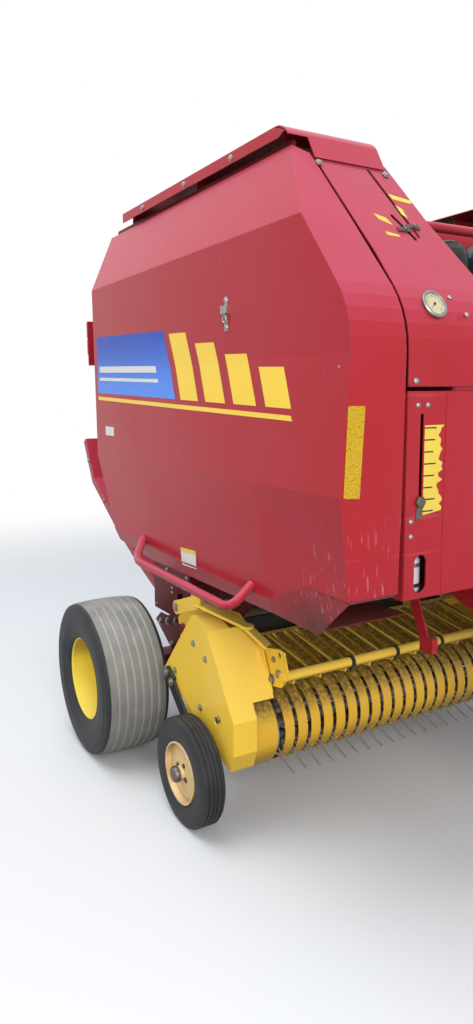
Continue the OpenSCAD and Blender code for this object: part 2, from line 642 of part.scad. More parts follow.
// Tailgate: two side plates with rails along their lower edge, joined by sheets above and below and by two tubes
gate_outline = [[-48, 695], [379, 863], [675, 1008], [rear_reach - 150, 1235], [rear_reach - 10, 1500],
    [rear_reach, 1950], [rear_reach - 280, roof_top_z - 315], [420, roof_top_z - 105],
    [72, roof_top_z - 100], [62, roof_top_z - 205]];
rail_path = [[-14, 727], [379, 890], [665, 1034], [rear_reach - 165, 1262], [rear_reach - 34, 1508]];
gate_tubes = [[rear_reach - 50, 1520], [rear_reach - 42, 1930]];
lamp_y = rear_reach - 164;
module tailgate() {
    color(red) {
        pair() {
            difference() {
                union() {
                    difference() {
                        slab_x(-plate_out, -plate_in, gate_outline);
                        rod_x(gate_hinge, 100, -plate_out - 1, -plate_in + 1);
                    }
                    slab_x(-plate_out - 18, -plate_out - 6, [[40, gate_hinge[1] - 38], [240, gate_hinge[1] - 180],
                        [240, gate_hinge[1] + 40], [50, gate_hinge[1] + 43]]);
                    rod_x(gate_hinge, 50, -plate_out - 18, -plate_out - 6);
                    slab_x(-plate_out - 7, -plate_out + 1, [[170, gate_hinge[1] - 120], [240, gate_hinge[1] - 170],
                        [240, gate_hinge[1] + 20], [170, gate_hinge[1] + 20]]);
                }
                rod_x(gate_hinge, 25 + fit, -plate_out - 20, -plate_out + 1);
            }
            rod_x(gate_lug, 30, -gate_x + eye_half + fit, -plate_out + 1);
            difference() {
                strip_x(-750, -plate_out + 1, rail_path, 46);
                strip_x(-744, -plate_out - 8, rail_path, 36);
            }
            block([-750, lamp_y - 6, 1975], [-plate_out + 1, lamp_y, 2240]);
        }
        strip_x(-plate_in - 1, plate_in + 1, [[520, 960], [rear_reach - 155, 1262]], 6);
        strip_x(-plate_in - 1, plate_in + 1, [[rear_reach - 285, roof_top_z - 323], [418, roof_top_z - 111],
            [200, roof_top_z - 108]], 6);
        for (p = gate_tubes) rod_x(p, 30, -plate_in - 1, plate_in + 1);
        block([-130, rear_reach - 23, 1490], [130, rear_reach - 19, 1640]);
    }
}
gate_roller_rows = [[90, 860, 60], [rear_reach - 200, 1400, 50], [rear_reach - 160, 1900, 45],
    [220, roof_top_z - 325, 45], [560, roof_top_z - 645, 45]];
gate_loop = [[0, 1], [1, 1], [2, 1], [3, 1], [4, -1]];
module tailgate_rollers() {
    color(steel) for (r = gate_roller_rows) {
        rod_x([r[0], r[1]], r[2], -plate_in + 6, plate_in - 6);
        rod_x([r[0], r[1]], 20, -plate_in, plate_in);
    }
}
module tailgate_belts() {
    color(black) belt_row([for (k = gate_loop) [gate_roller_rows[k[0]][0], gate_roller_rows[k[0]][1],
        k[1] > 0 ? gate_roller_rows[k[0]][2] : -gate_roller_rows[k[0]][2] - belt_t - 2 * fit]]);
}
module tail_lamps() {
    color("#c01c18") pair() block([-745, lamp_y, 2140], [-640, lamp_y + 26, 2235]);
    color("#f08a1a") pair() block([-745, lamp_y, 2040], [-640, lamp_y + 26, 2135]);
}

// Gate cylinders: barrel pinned to the side plate, rod pinned to the tailgate
gate_span = norm(gate_lug - gate_foot);
gate_lean = atan2(gate_lug[0] - gate_foot[0], gate_lug[1] - gate_foot[1]);
module along_cylinder() {
    translate([-gate_x, gate_foot[0], gate_foot[1]]) rotate([-gate_lean, 0, 0]) children();
}
barrel_len = 690;
rod_r = 22;
module eye(r_out, bore_r, half) {
    rotate([0, 90, 0]) difference() {
        translate([0, 0, -half]) cylinder(r = r_out, h = 2 * half);
        translate([0, 0, -half - 1]) cylinder(r = bore_r, h = 2 * half + 2);
    }
}
module gate_barrel_R() {
    color(black) along_cylinder() {
        eye(30, gate_pin_r + fit, eye_half);
        difference() {
            translate([0, 0, 45]) cylinder(r = 38, h = barrel_len - 45);
            translate([0, 0, 60]) cylinder(r = rod_r + fit, h = barrel_len);
        }
        difference() {
            translate([0, 0, 15]) cylinder(r = 18, h = 35);
            rotate([0, 90, 0]) cylinder(r = gate_pin_r + fit, h = 60, center = true);
        }
    }
}
module gate_rod_R() {
    color(steel) along_cylinder() {
        translate([0, 0, 70]) cylinder(r = rod_r, h = gate_span - 70 - 24);
        translate([0, 0, gate_span]) rotate([0, 90, 0]) {
            translate([0, 0, -eye_half]) cylinder(r = 30, h = 2 * eye_half);
            translate([0, 0, -eye_half - 9]) cylinder(r = gate_pin_r + 4, h = 10, $fn = 6);
        }
    }
}
module gate_barrel_L() {
    mirror([1, 0, 0]) gate_barrel_R();
}
module gate_rod_L() {
    mirror([1, 0, 0]) gate_rod_R();
}

// Wheels: a low, wide ribbed tyre on a dished rim
rim_r = 201;
// Half the width of a tyre over its beads, as a share of the tyre's width
bead_share = 0.4;
module tyre(r, w, bead_r) {
    half = [[bead_r, w * bead_share], [bead_r + 20, w * 0.46], [(r + bead_r) / 2, w / 2], [r - 28, w * 0.495],
        [r - 6, w * 0.455], [r, w * 0.37]];
    rotate([0, 90, 0]) rotate_extrude($fn = 72)
        polygon(concat([for (p = backward(half)) [p[0], -p[1]]], half));
}
// Dished rim with its outer side at -X: half_w is half its width, and disc_at the place of the disc's edge
module rim(bead_r, half_w, disc_at, disc_bulge, hub_r, hub_bore, hub_in) {
    face = disc_at - disc_bulge;
    rotate([0, 90, 0]) {
        rotate_extrude($fn = 72) polygon([[bead_r, -half_w], [bead_r, half_w], [bead_r - 7, half_w],
            [bead_r - 7, -half_w]]);
        rotate_extrude($fn = 72) polygon([[hub_bore, face], [hub_r * 1.6, face], [bead_r * 0.8, disc_at],
            [bead_r - 5, disc_at + 6], [bead_r - 5, disc_at + 14], [bead_r * 0.8, disc_at + 9],
            [hub_r * 1.6, face + 9], [hub_bore, face + 9]]);
        difference() {
            translate([0, 0, face - 30]) cylinder(r = hub_r, h = hub_in - face + 30);
            translate([0, 0, face - 22]) cylinder(r = hub_bore, h = hub_in - face + 30);
        }
    }
}
module wheel_tyre_R() {
    color(rubber) translate([-track / 2, 0, tyre_r]) tyre(tyre_r, tyre_w, rim_r);
}
module wheel_rim_R() {
    color(yellow) translate([-track / 2, 0, tyre_r]) rim(rim_r, tyre_w * bead_share, 25, 20, 50, spindle_r + fit, 120);
}
module wheel_tyre_L() {
    mirror([1, 0, 0]) wheel_tyre_R();
}
module wheel_rim_L() {
    mirror([1, 0, 0]) wheel_rim_R();
}

// Pickup frame: inner plates at both sides with the pivot bores, joined by two cross tubes
pickup_plate = [[-1035, 300], [-1045, 540], [-880, 780], [-731, 835], [-600, 890], [-520, 890],
    [-370, 740], [-390, 650], [-440, 560], [-440, 284], [-600, 284]];
module pickup_frame() {
    color(yellow) {
        pair() difference() {
            slab_x(-pickup_plate_x - pickup_plate_t, -pickup_plate_x, pickup_plate);
            rod_x(pickup_pivot, 25 + fit, -pickup_plate_x - 10, -pickup_plate_x + 10);
            rod_x([reel_y, reel_z], reel_shaft_r + fit, -pickup_plate_x - 10, -pickup_plate_x + 10);
        }
        block([-pickup_plate_x, -600, 300], [pickup_plate_x, -520, 380]);
        block([-pickup_plate_x, -560, 600], [pickup_plate_x, -520, 640]);
        block([-pickup_plate_x, -471, 290], [pickup_plate_x, -466, 598]);
        pair() rod_x(guard_pivot, 10, -guard_arm_x - 14, -pickup_plate_x - pickup_plate_t + 1);
    }
}

// Stripper bands: sheet hoops round the front of the reel, and a drum at each end
band_w = 47;
band_t = 4;
band_tail_high = [-560, 636];
band_tail_low = [-600, 304];
// Point and direction where a hoop leaves the circle at an angle from straight back
function on_band(a, r) = [band_y + r * cos(a), band_z + r * sin(a)];
hoop_top = 101;
hoop_low = 286;
module hoop_2d() {
    difference() {
        translate([band_y, band_z]) circle(band_r, $fn = 72);
        translate([band_y, band_z]) circle(band_r - band_t, $fn = 72);
        polygon([on_band(hoop_top, band_r / 2), on_band(hoop_top, band_r * 1.2), [band_y + 2 * band_r, band_z + band_r],
            [band_y + 2 * band_r, band_z - band_r], on_band(hoop_low, band_r * 1.2), on_band(hoop_low, band_r / 2)]);
    }
    polygon([on_band(hoop_top + 1, band_r - band_t), on_band(hoop_top + 1, band_r), band_tail_high + [0, band_t],
        band_tail_high]);
    polygon([on_band(hoop_low - 1, band_r - band_t), on_band(hoop_low - 1, band_r), band_tail_low,
        band_tail_low + [0, band_t]]);
}
module pickup_bands() {
    color(yellow) {
        for (i = [0 : band_n - 1]) {
            x = (i - (band_n - 1) / 2) * band_pitch;
            translate([x - band_w / 2, 0, 0]) rotate([90, 0, 90]) linear_extrude(band_w) hoop_2d();
        }
        pair() difference() {
            rod_x([band_y, band_z], band_r, -pickup_plate_x, -drum_x);
            rod_x([band_y, band_z], band_r - band_t, -pickup_plate_x - 1, -drum_x - band_t);
            rod_x([reel_y, reel_z], 45, -pickup_plate_x, -drum_x + 1);
        }
    }
}

// End shields: folded boxes outside the pickup plates, with a front sheet that reaches in over the drum
end_path = [[-439, 529], [-731, 856], [-862, 818], [-1076, 500], [-1073, 364], [-1047, 290]];
end_inner_x = 746;
end_sheet = 5;
module pickup_ends() {
    color(yellow) pair() {
        difference() {
            slab_x(-end_x, -end_x + end_sheet, end_path);
            rod_x([-700, 420], 12, -end_x - 1, -end_x + 10);
            rod_x([-936, 463], 16, -end_x - 1, -end_x + 10);
        }
        strip_x(-end_x, -pickup_plate_x - pickup_plate_t, end_path, end_sheet);
        strip_x(-pickup_plate_x - pickup_plate_t - 1, -end_inner_x, [end_path[2], [-1040, 553]], end_sheet);
        slab_x(-end_inner_x, -end_inner_x + end_sheet, [[-454, 814], [-760, 842], [-925, 759], [-953, 740],
            [-1031, 568], [-1000, 572], [-900, 640], [-454, 740]]);
    }
}

// Gauge-wheel arms: flat bars that run down outside the end shields to a stub axle
arm_x = 978;
arm_root = [-490, 545];
gauge_axle_r = 16;
module gauge_arms() {
    color(black) pair() {
        strip_x(-arm_x, -end_x, [arm_root, [-560, 510]], 40);
        strip_x(-arm_x, -arm_x + 12, [arm_root, [gauge_y, gauge_r]], 56);
        rod_x([gauge_y, gauge_r], 32, -arm_x, -arm_x + 12);
        rod_x([gauge_y, gauge_r], gauge_axle_r, -gauge_x - 40, -arm_x + 6);
    }
}

// Reel: a shaft with two end discs, four tine bars and their curved spring tines
bar_ring = 95;
bar_r = 14;
tine_t = 6;
tine_bow = 14;
// Each tine bar as [its angle round the reel, the direction its tines point]
bar_rows = [[210, 210], [300, 285], [30, 355], [120, 32]];
function tine_path(row) = [for (t = [0 : 0.25 : 1])
    let (reach = (tine_reach - 1 - bar_ring) * t, bow = tine_bow * 4 * t * (1 - t))
    [bar_ring * cos(row[0]) + reach * cos(row[1]) - bow * sin(row[1]),
        bar_ring * sin(row[0]) + reach * sin(row[1]) + bow * cos(row[1])]];
module pickup_reel() {
    color(steel) translate([0, reel_y, reel_z]) {
        rod_x([0, 0], reel_shaft_r, -pickup_plate_x - 40, pickup_plate_x + 40);
        pair() rod_x([0, 0], bar_ring + 22, -718, -712);
        for (row = bar_rows) {
            rod_x(tine_path(row)[0], bar_r, -715, 715);
            for (i = [0 : band_n]) {
                x = (i - band_n / 2) * band_pitch;
                strip_x(x - tine_t / 2, x + tine_t / 2, tine_path(row), tine_t);
            }
        }
    }
}

// Windguard: an arm over each end shield, the ear that carries the front tube, and the rods over the bands
guard_rods = 11;
guard_ear_x = 734;
guard_ear = [[-953, 740], [-1063, 763], [-1098, 759], [-1123, 685], [-1118, 648], [-1078, 605],
    [-1011, 591], [-990, 641], [-919, 687]];
guard_rod_path = [guard_tube, [-1072, 612], [-1037, 603], [-960, 630], [-660, 682]];
module windguard() {
    knee_at = [-guard_arm_x, -745, 915];
    over = [-790, -903, 826];
    foot = [-guard_ear_x + 3, -975, 748];
    color(yellow) {
        pair() {
            difference() {
                union() {
                    strip_x(-guard_arm_x - 6, -guard_arm_x + 6, [guard_pivot, [knee_at[1], knee_at[2]]], 60);
                    rod_x(guard_pivot, 32, -guard_arm_x - 6, -guard_arm_x + 6);
                }
                rod_x(guard_pivot, 10 + fit, -guard_arm_x - 10, -guard_arm_x + 10);
            }
            rod_x([knee_at[1], knee_at[2]], 30, -guard_arm_x - 6, -guard_arm_x + 6);
            flat_bar(knee_at, over, 60, 12);
            flat_bar(over, foot, 60, 12);
            rod([over[0], over[1], over[2] - 6], [over[0], over[1], over[2] + 6], 30);
            difference() {
                slab_x(-guard_ear_x, -guard_ear_x + 6, guard_ear);
                rod_x([-1063, 738], 11, -guard_ear_x - 1, -guard_ear_x + 7);
            }
        }
        rod_x(guard_tube, 22, -guard_ear_x - 7, guard_ear_x + 7);
        for (i = [0 : guard_rods - 1]) {
            x = (i - (guard_rods - 1) / 2) * 2 * band_pitch;
            for (k = [0 : len(guard_rod_path) - 2])
                rod([x, guard_rod_path[k][0], guard_rod_path[k][1]],
                    [x, guard_rod_path[k + 1][0], guard_rod_path[k + 1][1]], 5, 12);
        }
    }
}

// Gauge wheels: small plain tyres on pale rims
gauge_bead = 130;
module gauge_tyre_R() {
    color(rubber) translate([-gauge_x, gauge_y, gauge_r]) tyre(gauge_r, gauge_w, gauge_bead);
}
module gauge_rim_R() {
    color(pale_yellow) translate([-gauge_x, gauge_y, gauge_r]) rim(gauge_bead, gauge_w * 0.48, -30, 6, 30, gauge_axle_r + fit, gauge_w / 2);
}
module gauge_tyre_L() {
    mirror([1, 0, 0]) gauge_tyre_R();
}
module gauge_rim_L() {
    mirror([1, 0, 0]) gauge_rim_R();
}

// Everything above is drawn about the axle; this sets it about the machine's own middle
module placed() {
    translate([0, axle_y, 0]) children();
}

placed() side_plates();
placed() cross_members();
placed() axle_beam();
placed() tongue();
placed() hitch_clevis();
placed() jack_tube();
placed() gearbox();
placed() pto_shaft();
placed() hinge_rails();
placed() front_shield_R();
placed() front_shield_L();
placed() front_boxes();
placed() net_box();
placed() net_roll();
placed() chamber_cover();
placed() roof_covers();
placed() top_tube();
placed() accumulators();
placed() pressure_gauge();
placed() chamber_rollers();
placed() front_belts();
placed() inner_panels();
placed() chain_drive();
placed() side_shield_R();
placed() side_shield_L();
placed() tailgate();
placed() tailgate_rollers();
placed() tailgate_belts();
placed() tail_lamps();
placed() gate_barrel_R();
placed() gate_barrel_L();
placed() gate_rod_R();
placed() gate_rod_L();
placed() wheel_tyre_R();
placed() wheel_rim_R();
placed() wheel_tyre_L();
placed() wheel_rim_L();
placed() pickup_frame();
placed() pickup_bands();
placed() pickup_ends();
placed() gauge_arms();
placed() pickup_reel();
placed() windguard();
placed() gauge_tyre_R();
placed() gauge_rim_R();
placed() gauge_tyre_L();
placed() gauge_rim_L();
placed() jack_leg();
placed() front_lid();
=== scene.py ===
import math
import random

import bmesh
import bpy
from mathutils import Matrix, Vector
from mathutils.bvhtree import BVHTree


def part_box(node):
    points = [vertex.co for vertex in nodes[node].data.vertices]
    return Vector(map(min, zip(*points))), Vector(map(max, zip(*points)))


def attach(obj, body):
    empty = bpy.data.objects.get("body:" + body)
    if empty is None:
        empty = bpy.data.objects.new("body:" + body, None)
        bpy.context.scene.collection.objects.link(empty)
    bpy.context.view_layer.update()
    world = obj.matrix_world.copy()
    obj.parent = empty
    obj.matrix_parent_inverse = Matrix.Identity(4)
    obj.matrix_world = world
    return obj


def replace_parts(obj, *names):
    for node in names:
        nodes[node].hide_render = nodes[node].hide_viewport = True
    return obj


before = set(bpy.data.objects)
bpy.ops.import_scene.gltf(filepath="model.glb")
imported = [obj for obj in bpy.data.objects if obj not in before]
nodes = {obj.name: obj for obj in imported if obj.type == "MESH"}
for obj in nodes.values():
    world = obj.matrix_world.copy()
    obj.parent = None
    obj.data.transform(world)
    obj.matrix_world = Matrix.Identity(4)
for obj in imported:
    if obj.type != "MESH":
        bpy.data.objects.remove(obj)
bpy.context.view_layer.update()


# Frame: chamber plates, cross members and axle beam, cut and folded from steel plate and welded.
# The paint is a dull red, darkened as painted shade for these parts deep inside, thin at the edges, with chaff and road
# dust on whatever faces up.
# Hexagon bolts on washers hold the beams, and a coil spring lies above each of the pickup's pivots.
class Signal:
    """A shader socket. Sums and products of signals add Math nodes to their material."""

    def __init__(self, tree, socket=None):
        self.tree = tree
        self.socket = socket

    def node(self, kind, settings=None, sockets=None, output=0):
        made = self.tree.nodes.new(kind)
        for name, value in (settings or {}).items():
            setattr(made, name, value)
        for name, value in (sockets or {}).items():
            if isinstance(value, Signal):
                self.tree.links.new(value.socket, made.inputs[name])
            else:
                made.inputs[name].default_value = value
        return Signal(self.tree, made.outputs[output])

    def maths(self, operation, *values):
        return self.node("ShaderNodeMath", {"operation": operation}, dict(enumerate(values)))

    def __add__(self, other):
        return self.maths("ADD", self, other)

    __radd__ = __add__

    def __sub__(self, other):
        return self.maths("SUBTRACT", self, other)

    def __rsub__(self, other):
        return self.maths("SUBTRACT", other, self)

    def __mul__(self, other):
        return self.maths("MULTIPLY", self, other)

    __rmul__ = __mul__


def start_finish(name):
    """A new empty material and the signal that its nodes grow from."""
    finish = bpy.data.materials.new(name)
    finish.use_nodes = True
    finish.node_tree.nodes.clear()
    return finish, Signal(finish.node_tree)


def close_finish(finish, start, sockets):
    """Joins the surface's sockets to the material's output."""
    surface = start.node("ShaderNodeBsdfPrincipled", None, sockets)
    output = finish.node_tree.nodes.new("ShaderNodeOutputMaterial")
    finish.node_tree.links.new(surface.socket, output.inputs[0])
    return finish


def place_on(start):
    """The point on the machine, in its own metres."""
    return start.node("ShaderNodeTexCoord", output=3)


def facing(start):
    """The way that the surface looks."""
    return start.node("ShaderNodeNewGeometry", output=1)


def share(start, vector, axis):
    """One number of a vector: 0 is across the machine, 1 towards its rear, 2 upwards."""
    return start.node("ShaderNodeSeparateXYZ", None, {0: vector}, output=axis)


def grain(start, scale, detail=3, stretch=(1, 1, 1)):
    """Noise in the machine's own metres, from 0 to 1."""
    moved = start.node("ShaderNodeMapping", None, {"Vector": place_on(start), "Scale": stretch})
    return start.node("ShaderNodeTexNoise", None, {"Vector": moved, "Scale": scale, "Detail": detail})


def fade(start, value, low, high):
    """A soft step from 0 at low to 1 at high."""
    return start.node("ShaderNodeMapRange", {"interpolation_type": "SMOOTHSTEP"}, {0: value, 1: low, 2: high})


def blend_colours(start, amount, under, over):
    return start.node("ShaderNodeMix", {"data_type": "RGBA"}, {0: amount, 6: under, 7: over}, output=2)


def facing_up(start, upright=0.3, level=1.0):
    """1 on faces that look up, 0 on upright ones and those that look down."""
    return fade(start, share(start, facing(start), 2), upright, level)


def inside_of_sheet(start):
    """1 on faces that look in towards the machine's middle from far out, 0 elsewhere."""
    return fade(start, share(start, facing(start), 0) * share(start, place_on(start), 0), -0.05, -0.35)


def height(start):
    """Metres above the ground."""
    return share(start, place_on(start), 2)


def below(start, low, high):
    """1 under one height in metres, 0 over a second."""
    return 1 - fade(start, height(start), low, high)


def ahead_of(start, front, back):
    """1 before one place along the machine in metres, 0 behind a second."""
    return 1 - fade(start, share(start, place_on(start), 1), front, back)


def rounded_edge(start, radius):
    """The normal with sharp edges turned into small rounds."""
    return start.node("ShaderNodeBevel", {"samples": 4}, {"Radius": radius})


def worn_edge(start, radius):
    """1 along sharp edges, 0 on flats."""
    same = start.node("ShaderNodeVectorMath", {"operation": "DOT_PRODUCT"},
                      {0: rounded_edge(start, radius), 1: facing(start)}, output=1)
    return fade(start, 1 - same, 0.02, 0.25)


def bumped(start, heights, strength, distance, radius=0.002):
    """The normal with a relief in it and with rounded edges."""
    return start.node("ShaderNodeBump", None, {
        "Height": heights, "Strength": strength, "Distance": distance, "Normal": rounded_edge(start, radius)})


dust_colour = (0.27, 0.22, 0.17, 1)
bare_colour = (0.13, 0.105, 0.09, 1)
scuff_colour = (0.62, 0.36, 0.34, 1)
# Near black, for oil dirt on tops and for painted shade under faces that look down.
grime_and_shade_colour = (0.045, 0.028, 0.020, 1)
ripple = 5.0


def painted(name, colour, faded_and_sheen, gloss, dust, wear, coat, splash=0.0, scuffs_and_chin_reflection=0.0, grime_and_shadow=0.0):
    """Machine paint on sheet: dusty, bare at its edges, and paler where it looks up, partly sun fading and partly
    painted sky reflection.

    Painted shade darkens faces that look down; splash is road dust low down. The scuff amount adds scratches and a
    painted reflection of shaded ground at the low front corner; the oil amount darkens tops with oil and painted
    shadow."""
    finish, start = start_finish(name)
    clouds = fade(start, grain(start, 1.3, 4), 0.3, 0.75)
    mottle = grain(start, 9, 5)
    # Faces that look up blend towards the pale tint: partly sun fading, partly a painted sky reflection.
    painted_sky_sheen = facing_up(start, 0.05, 0.75)
    shade = blend_colours(start, clouds * 0.1 + mottle * 0.08 + painted_sky_sheen * 0.5, colour, faded_and_sheen)
    streaks = fade(start, grain(start, 3.0, 6, (1, 1, 0.12)), 0.52, 0.8)
    patches = fade(start, grain(start, 5, 9), 0.15, 0.85)
    inner = inside_of_sheet(start)
    low_down = below(start, 0.75, 1.35) * splash
    settled = (facing_up(start) * 0.4 + streaks * 0.25) * patches * dust + low_down * patches + inner * 0.25
    # Tops darken with oil dirt and with painted shadow.
    oily_and_shadowed = facing_up(start, 0.25, 0.8) * fade(start, grain(start, 55, 6), 0.1, 0.65)
    # Faces that look down are darkened towards near black: painted shade.
    painted_underside_shade = facing_up(start, -0.06, -0.6)
    # A dark patch at the low front corner: a painted reflection of the shaded ground.
    painted_chin_reflection = below(start, 1.04, 1.19) * ahead_of(start, -0.8, -0.45) * fade(start, mottle, 0.1, 0.5)
    grime_and_painted_shade = oily_and_shadowed * grime_and_shadow + painted_underside_shade * 0.5 + painted_chin_reflection * scuffs_and_chin_reflection
    dusty = blend_colours(start, grime_and_painted_shade, blend_colours(start, settled, shade, dust_colour), grime_and_shade_colour)
    scratch = fade(start, grain(start, 40, 2, (0.05, 1, 1.2)), 0.70, 0.74) * (0.2 * wear)
    low_corner = below(start, 1.08, 1.50) * ahead_of(start, -0.95, -0.55)
    scraped = fade(start, grain(start, 80, 4, (1, 1, 0.15)), 0.60, 0.70) * low_corner * scuffs_and_chin_reflection
    scuffed = blend_colours(start, scratch + scraped, dusty, scuff_colour)
    chips = worn_edge(start, 0.004) * fade(start, grain(start, 45, 4), 0.5, 0.62) * wear
    bared = blend_colours(start, chips, scuffed, bare_colour)
    rough = settled * 0.45 + mottle * 0.1 + (scratch + scraped) * 0.3 + inner * 0.3 + gloss
    skin = grain(start, 420, 2) * 0.3 + settled * 0.4 - chips + grain(start, 2.2, 1) * ripple
    return close_finish(finish, start, {
        "Base Color": bared, "Roughness": rough, "Specular IOR Level": 0.14,
        "Coat Weight": (1 - settled) * (1 - inner) * (1 - grime_and_painted_shade) * coat, "Coat Roughness": 0.08,
        "Normal": bumped(start, skin, 0.25, 0.0006)})


def dress(finish, *names):
    """Gives CAD nodes their finish."""
    for name in names:
        for place in nodes[name].material_slots:
            place.material = finish


def add_piece(name, mesh, body, slot_name, *finishes, sharp=35):
    """Makes an object of a bmesh, shades it smooth up to an angle and sets it on its body."""
    bmesh.ops.recalc_face_normals(mesh, faces=mesh.faces)
    data = bpy.data.meshes.new(name)
    mesh.to_mesh(data)
    mesh.free()
    for finish in finishes:
        data.materials.append(finish)
    data.shade_smooth()
    data.set_sharp_from_angle(angle=math.radians(sharp))
    piece = bpy.data.objects.new(name, data)
    bpy.context.collection.objects.link(piece)
    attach(piece, body)
    return piece


wheel_low, wheel_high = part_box("wheel_tyre_R")
axle_y = (wheel_low.y + wheel_high.y) / 2


def at(x, y, z):
    """A place measured from the ground under the middle of the axle."""
    return Vector((x, y + axle_y, z))


def turn(mesh, profile, centre, axis, steps=48, finish=0, start_angle=0.0):
    """Adds a turned form. The profile is a list of (radius, distance along the axis) pairs."""
    axis = Vector(axis).normalized()
    side = axis.cross(Vector((0, 0, 1)) if abs(axis.z) < 0.9 else Vector((0, 1, 0))).normalized()
    over = axis.cross(side)
    rings = []
    for radius, along in profile:
        middle = Vector(centre) + axis * along
        count = steps if radius > 1e-6 else 1
        turns = [start_angle + math.tau * i / count for i in range(count)]
        rings.append([mesh.verts.new(middle + (side * math.cos(a) + over * math.sin(a)) * radius) for a in turns])
    for one, two in zip(rings, rings[1:]):
        for i in range(steps if max(len(one), len(two)) > 1 else 0):
            j = (i + 1) % steps
            corners = [one[i % len(one)], one[j % len(one)], two[j % len(two)], two[i % len(two)]]
            face = mesh.faces.new(list(dict.fromkeys(corners)))
            face.material_index = finish


def bar(mesh, path, radius, steps=10, finish=0):
    """Adds a round bar along a path."""
    path = [Vector(p) for p in path]
    rings = []
    side = (path[1] - path[0]).orthogonal()
    for i, middle in enumerate(path):
        ahead = (path[min(i + 1, len(path) - 1)] - path[max(i - 1, 0)]).normalized()
        side = (side - ahead * side.dot(ahead)).normalized()
        over = ahead.cross(side)
        turns = [math.tau * k / steps for k in range(steps)]
        rings.append([mesh.verts.new(middle + (side * math.cos(a) + over * math.sin(a)) * radius) for a in turns])
    for one, two in zip(rings, rings[1:]):
        for k in range(steps):
            face = mesh.faces.new([one[k], one[k - 1], two[k - 1], two[k]])
            face.material_index = finish
    for ring in (rings[0], rings[-1]):
        mesh.faces.new(ring).material_index = finish


def rivet(mesh, place, out, radius, finish=0):
    """A low round head."""
    turn(mesh, [(radius, 0), (radius * 0.93, radius * 0.3), (radius * 0.6, radius * 0.6), (0, radius * 0.72)],
         place, out, 16, finish)


def bolt(mesh, place, out, across=0.019, finish=0):
    """A hexagon head on its round washer, drawn in shares of the width across its flats."""
    washer = [(0, 0), (0.85, 0), (0.85, 0.12), (0, 0.12)]
    head = [(0, 0.12), (0.577, 0.12), (0.577, 0.42), (0.47, 0.5), (0, 0.5)]
    for outline, sides, start_angle in ((washer, 16, 0.0), (head, 6, 0.3)):
        turn(mesh, [(r * across, h * across) for r, h in outline], place, out, sides, finish, start_angle)


def in_pairs(head, mesh, places, out, size):
    """Sets a bolt or rivet at each (x, y, z) on the right-hand side, and its twin on the left."""
    for x, y, z in places:
        for side in (1, -1):
            head(mesh, at(side * x, y, z), (side * out[0], out[1], out[2]), size)


right = (-1, 0, 0)
# A darker copy of the red enamel: painted shade for the parts deep inside.
shaded_inner_red = painted("inner_red_painted_shade", (0.17, 0.016, 0.020, 1), (0.21, 0.045, 0.042, 1),
                      gloss=0.45, dust=0.7, wear=0.5, coat=0.05)
dress(shaded_inner_red, "side_plates", "cross_members", "axle_beam", "hinge_rails", "net_box", "gearbox", "inner_panels")

rust_colour = (0.17, 0.065, 0.025, 1)


def bare_metal(name, colour, gloss, rust, shine=1.0):
    """Unpainted steel: brushed, dulled by weather and with rust in clouds. Zinc and dust take the shine down."""
    finish, start = start_finish(name)
    rusty = fade(start, grain(start, 14, 6), 0.62 - 0.25 * rust, 0.85 - 0.2 * rust) * rust
    darker = [value * 0.6 for value in colour[:3]] + [1]
    shade = blend_colours(start, grain(start, 60, 4), colour, darker)
    return close_finish(finish, start, {
        "Base Color": blend_colours(start, rusty, shade, rust_colour), "Metallic": (1 - rusty) * shine,
        "Roughness": rusty * 0.4 + gloss, "Normal": bumped(start, grain(start, 250, 3), 0.3, 0.0004)})


steel = bare_metal("weathered_steel", (0.42, 0.41, 0.39, 1), gloss=0.38, rust=0.5)
chamber_x, skirt_x, leg_x = -0.600, -0.765, -0.704
frame_bolts = bmesh.new()
in_pairs(bolt, frame_bolts, [(chamber_x, y, z) for y, z in (
    (-1.18, 1.15), (-1.18, 1.21), (-1.77, 1.19), (-0.17, 2.50), (-0.13, 2.50), (-0.08, 0.58), (-0.04, 0.58),
    (-1.19, 2.405), (-1.17, 2.405))], right, 0.022)
in_pairs(rivet, frame_bolts, [(skirt_x, y, z) for y, z in (
    (-0.133, 0.818), (-0.131, 0.794), (-0.300, 0.905), (-0.075, 0.905), (0.060, 0.690), (-0.300, 0.705))], right, 0.010)
in_pairs(bolt, frame_bolts, [(leg_x, y, z) for y, z in (
    (0.150, 0.560), (0.060, 0.585), (-0.040, 0.610), (0.010, 0.470))], right, 0.024)
add_piece("frame_bolts", frame_bolts, "frame", "bare_steel", steel)

coil_x, coil_front, coil_z = -0.690, -0.415, 0.795
coil_r, coil_pitch, coil_turns, coil_steps = 0.020, 0.0085, 9, 10
coil_rear = coil_front + coil_pitch * coil_turns
springs = bmesh.new()
for side in (1, -1):
    coil = [at(side * (coil_x + coil_r * math.cos(a)), coil_front + coil_pitch * a / math.tau,
               coil_z + coil_r * math.sin(a))
            for a in [math.tau * i / coil_steps for i in range(coil_steps * coil_turns + 1)]]
    bar(springs, coil, 0.0035, 6)
    for end_y, pin_y in ((coil_front, -0.430), (coil_rear, -0.325)):
        bar(springs, [at(side * (coil_x + coil_r), end_y, coil_z), at(side * -0.605, pin_y, 0.800)], 0.006, 8)
add_piece("tension_springs", springs, "frame", "bare_steel", steel)


# Main wheels: low, wide implement tyres with seven plain ribs round the tread, on pressed yellow rims.
# The tread is grey with dust that has packed into the grooves; six nuts hold each rim to its hub.
def moulded(name, colour, gloss, dust, dusty=dust_colour):
    """Rubber or plastic: even colour, a fine mould grain and dust."""
    finish, start = start_finish(name)
    settled = (facing_up(start) * 0.5 + 0.5) * fade(start, grain(start, 9, 9), 0.1, 0.9) * dust
    return close_finish(finish, start, {
        "Base Color": blend_colours(start, settled, colour, dusty), "Roughness": settled * 0.3 + gloss,
        "Specular IOR Level": 0.25, "Normal": bumped(start, grain(start, 300, 4), 0.4, 0.0005)})


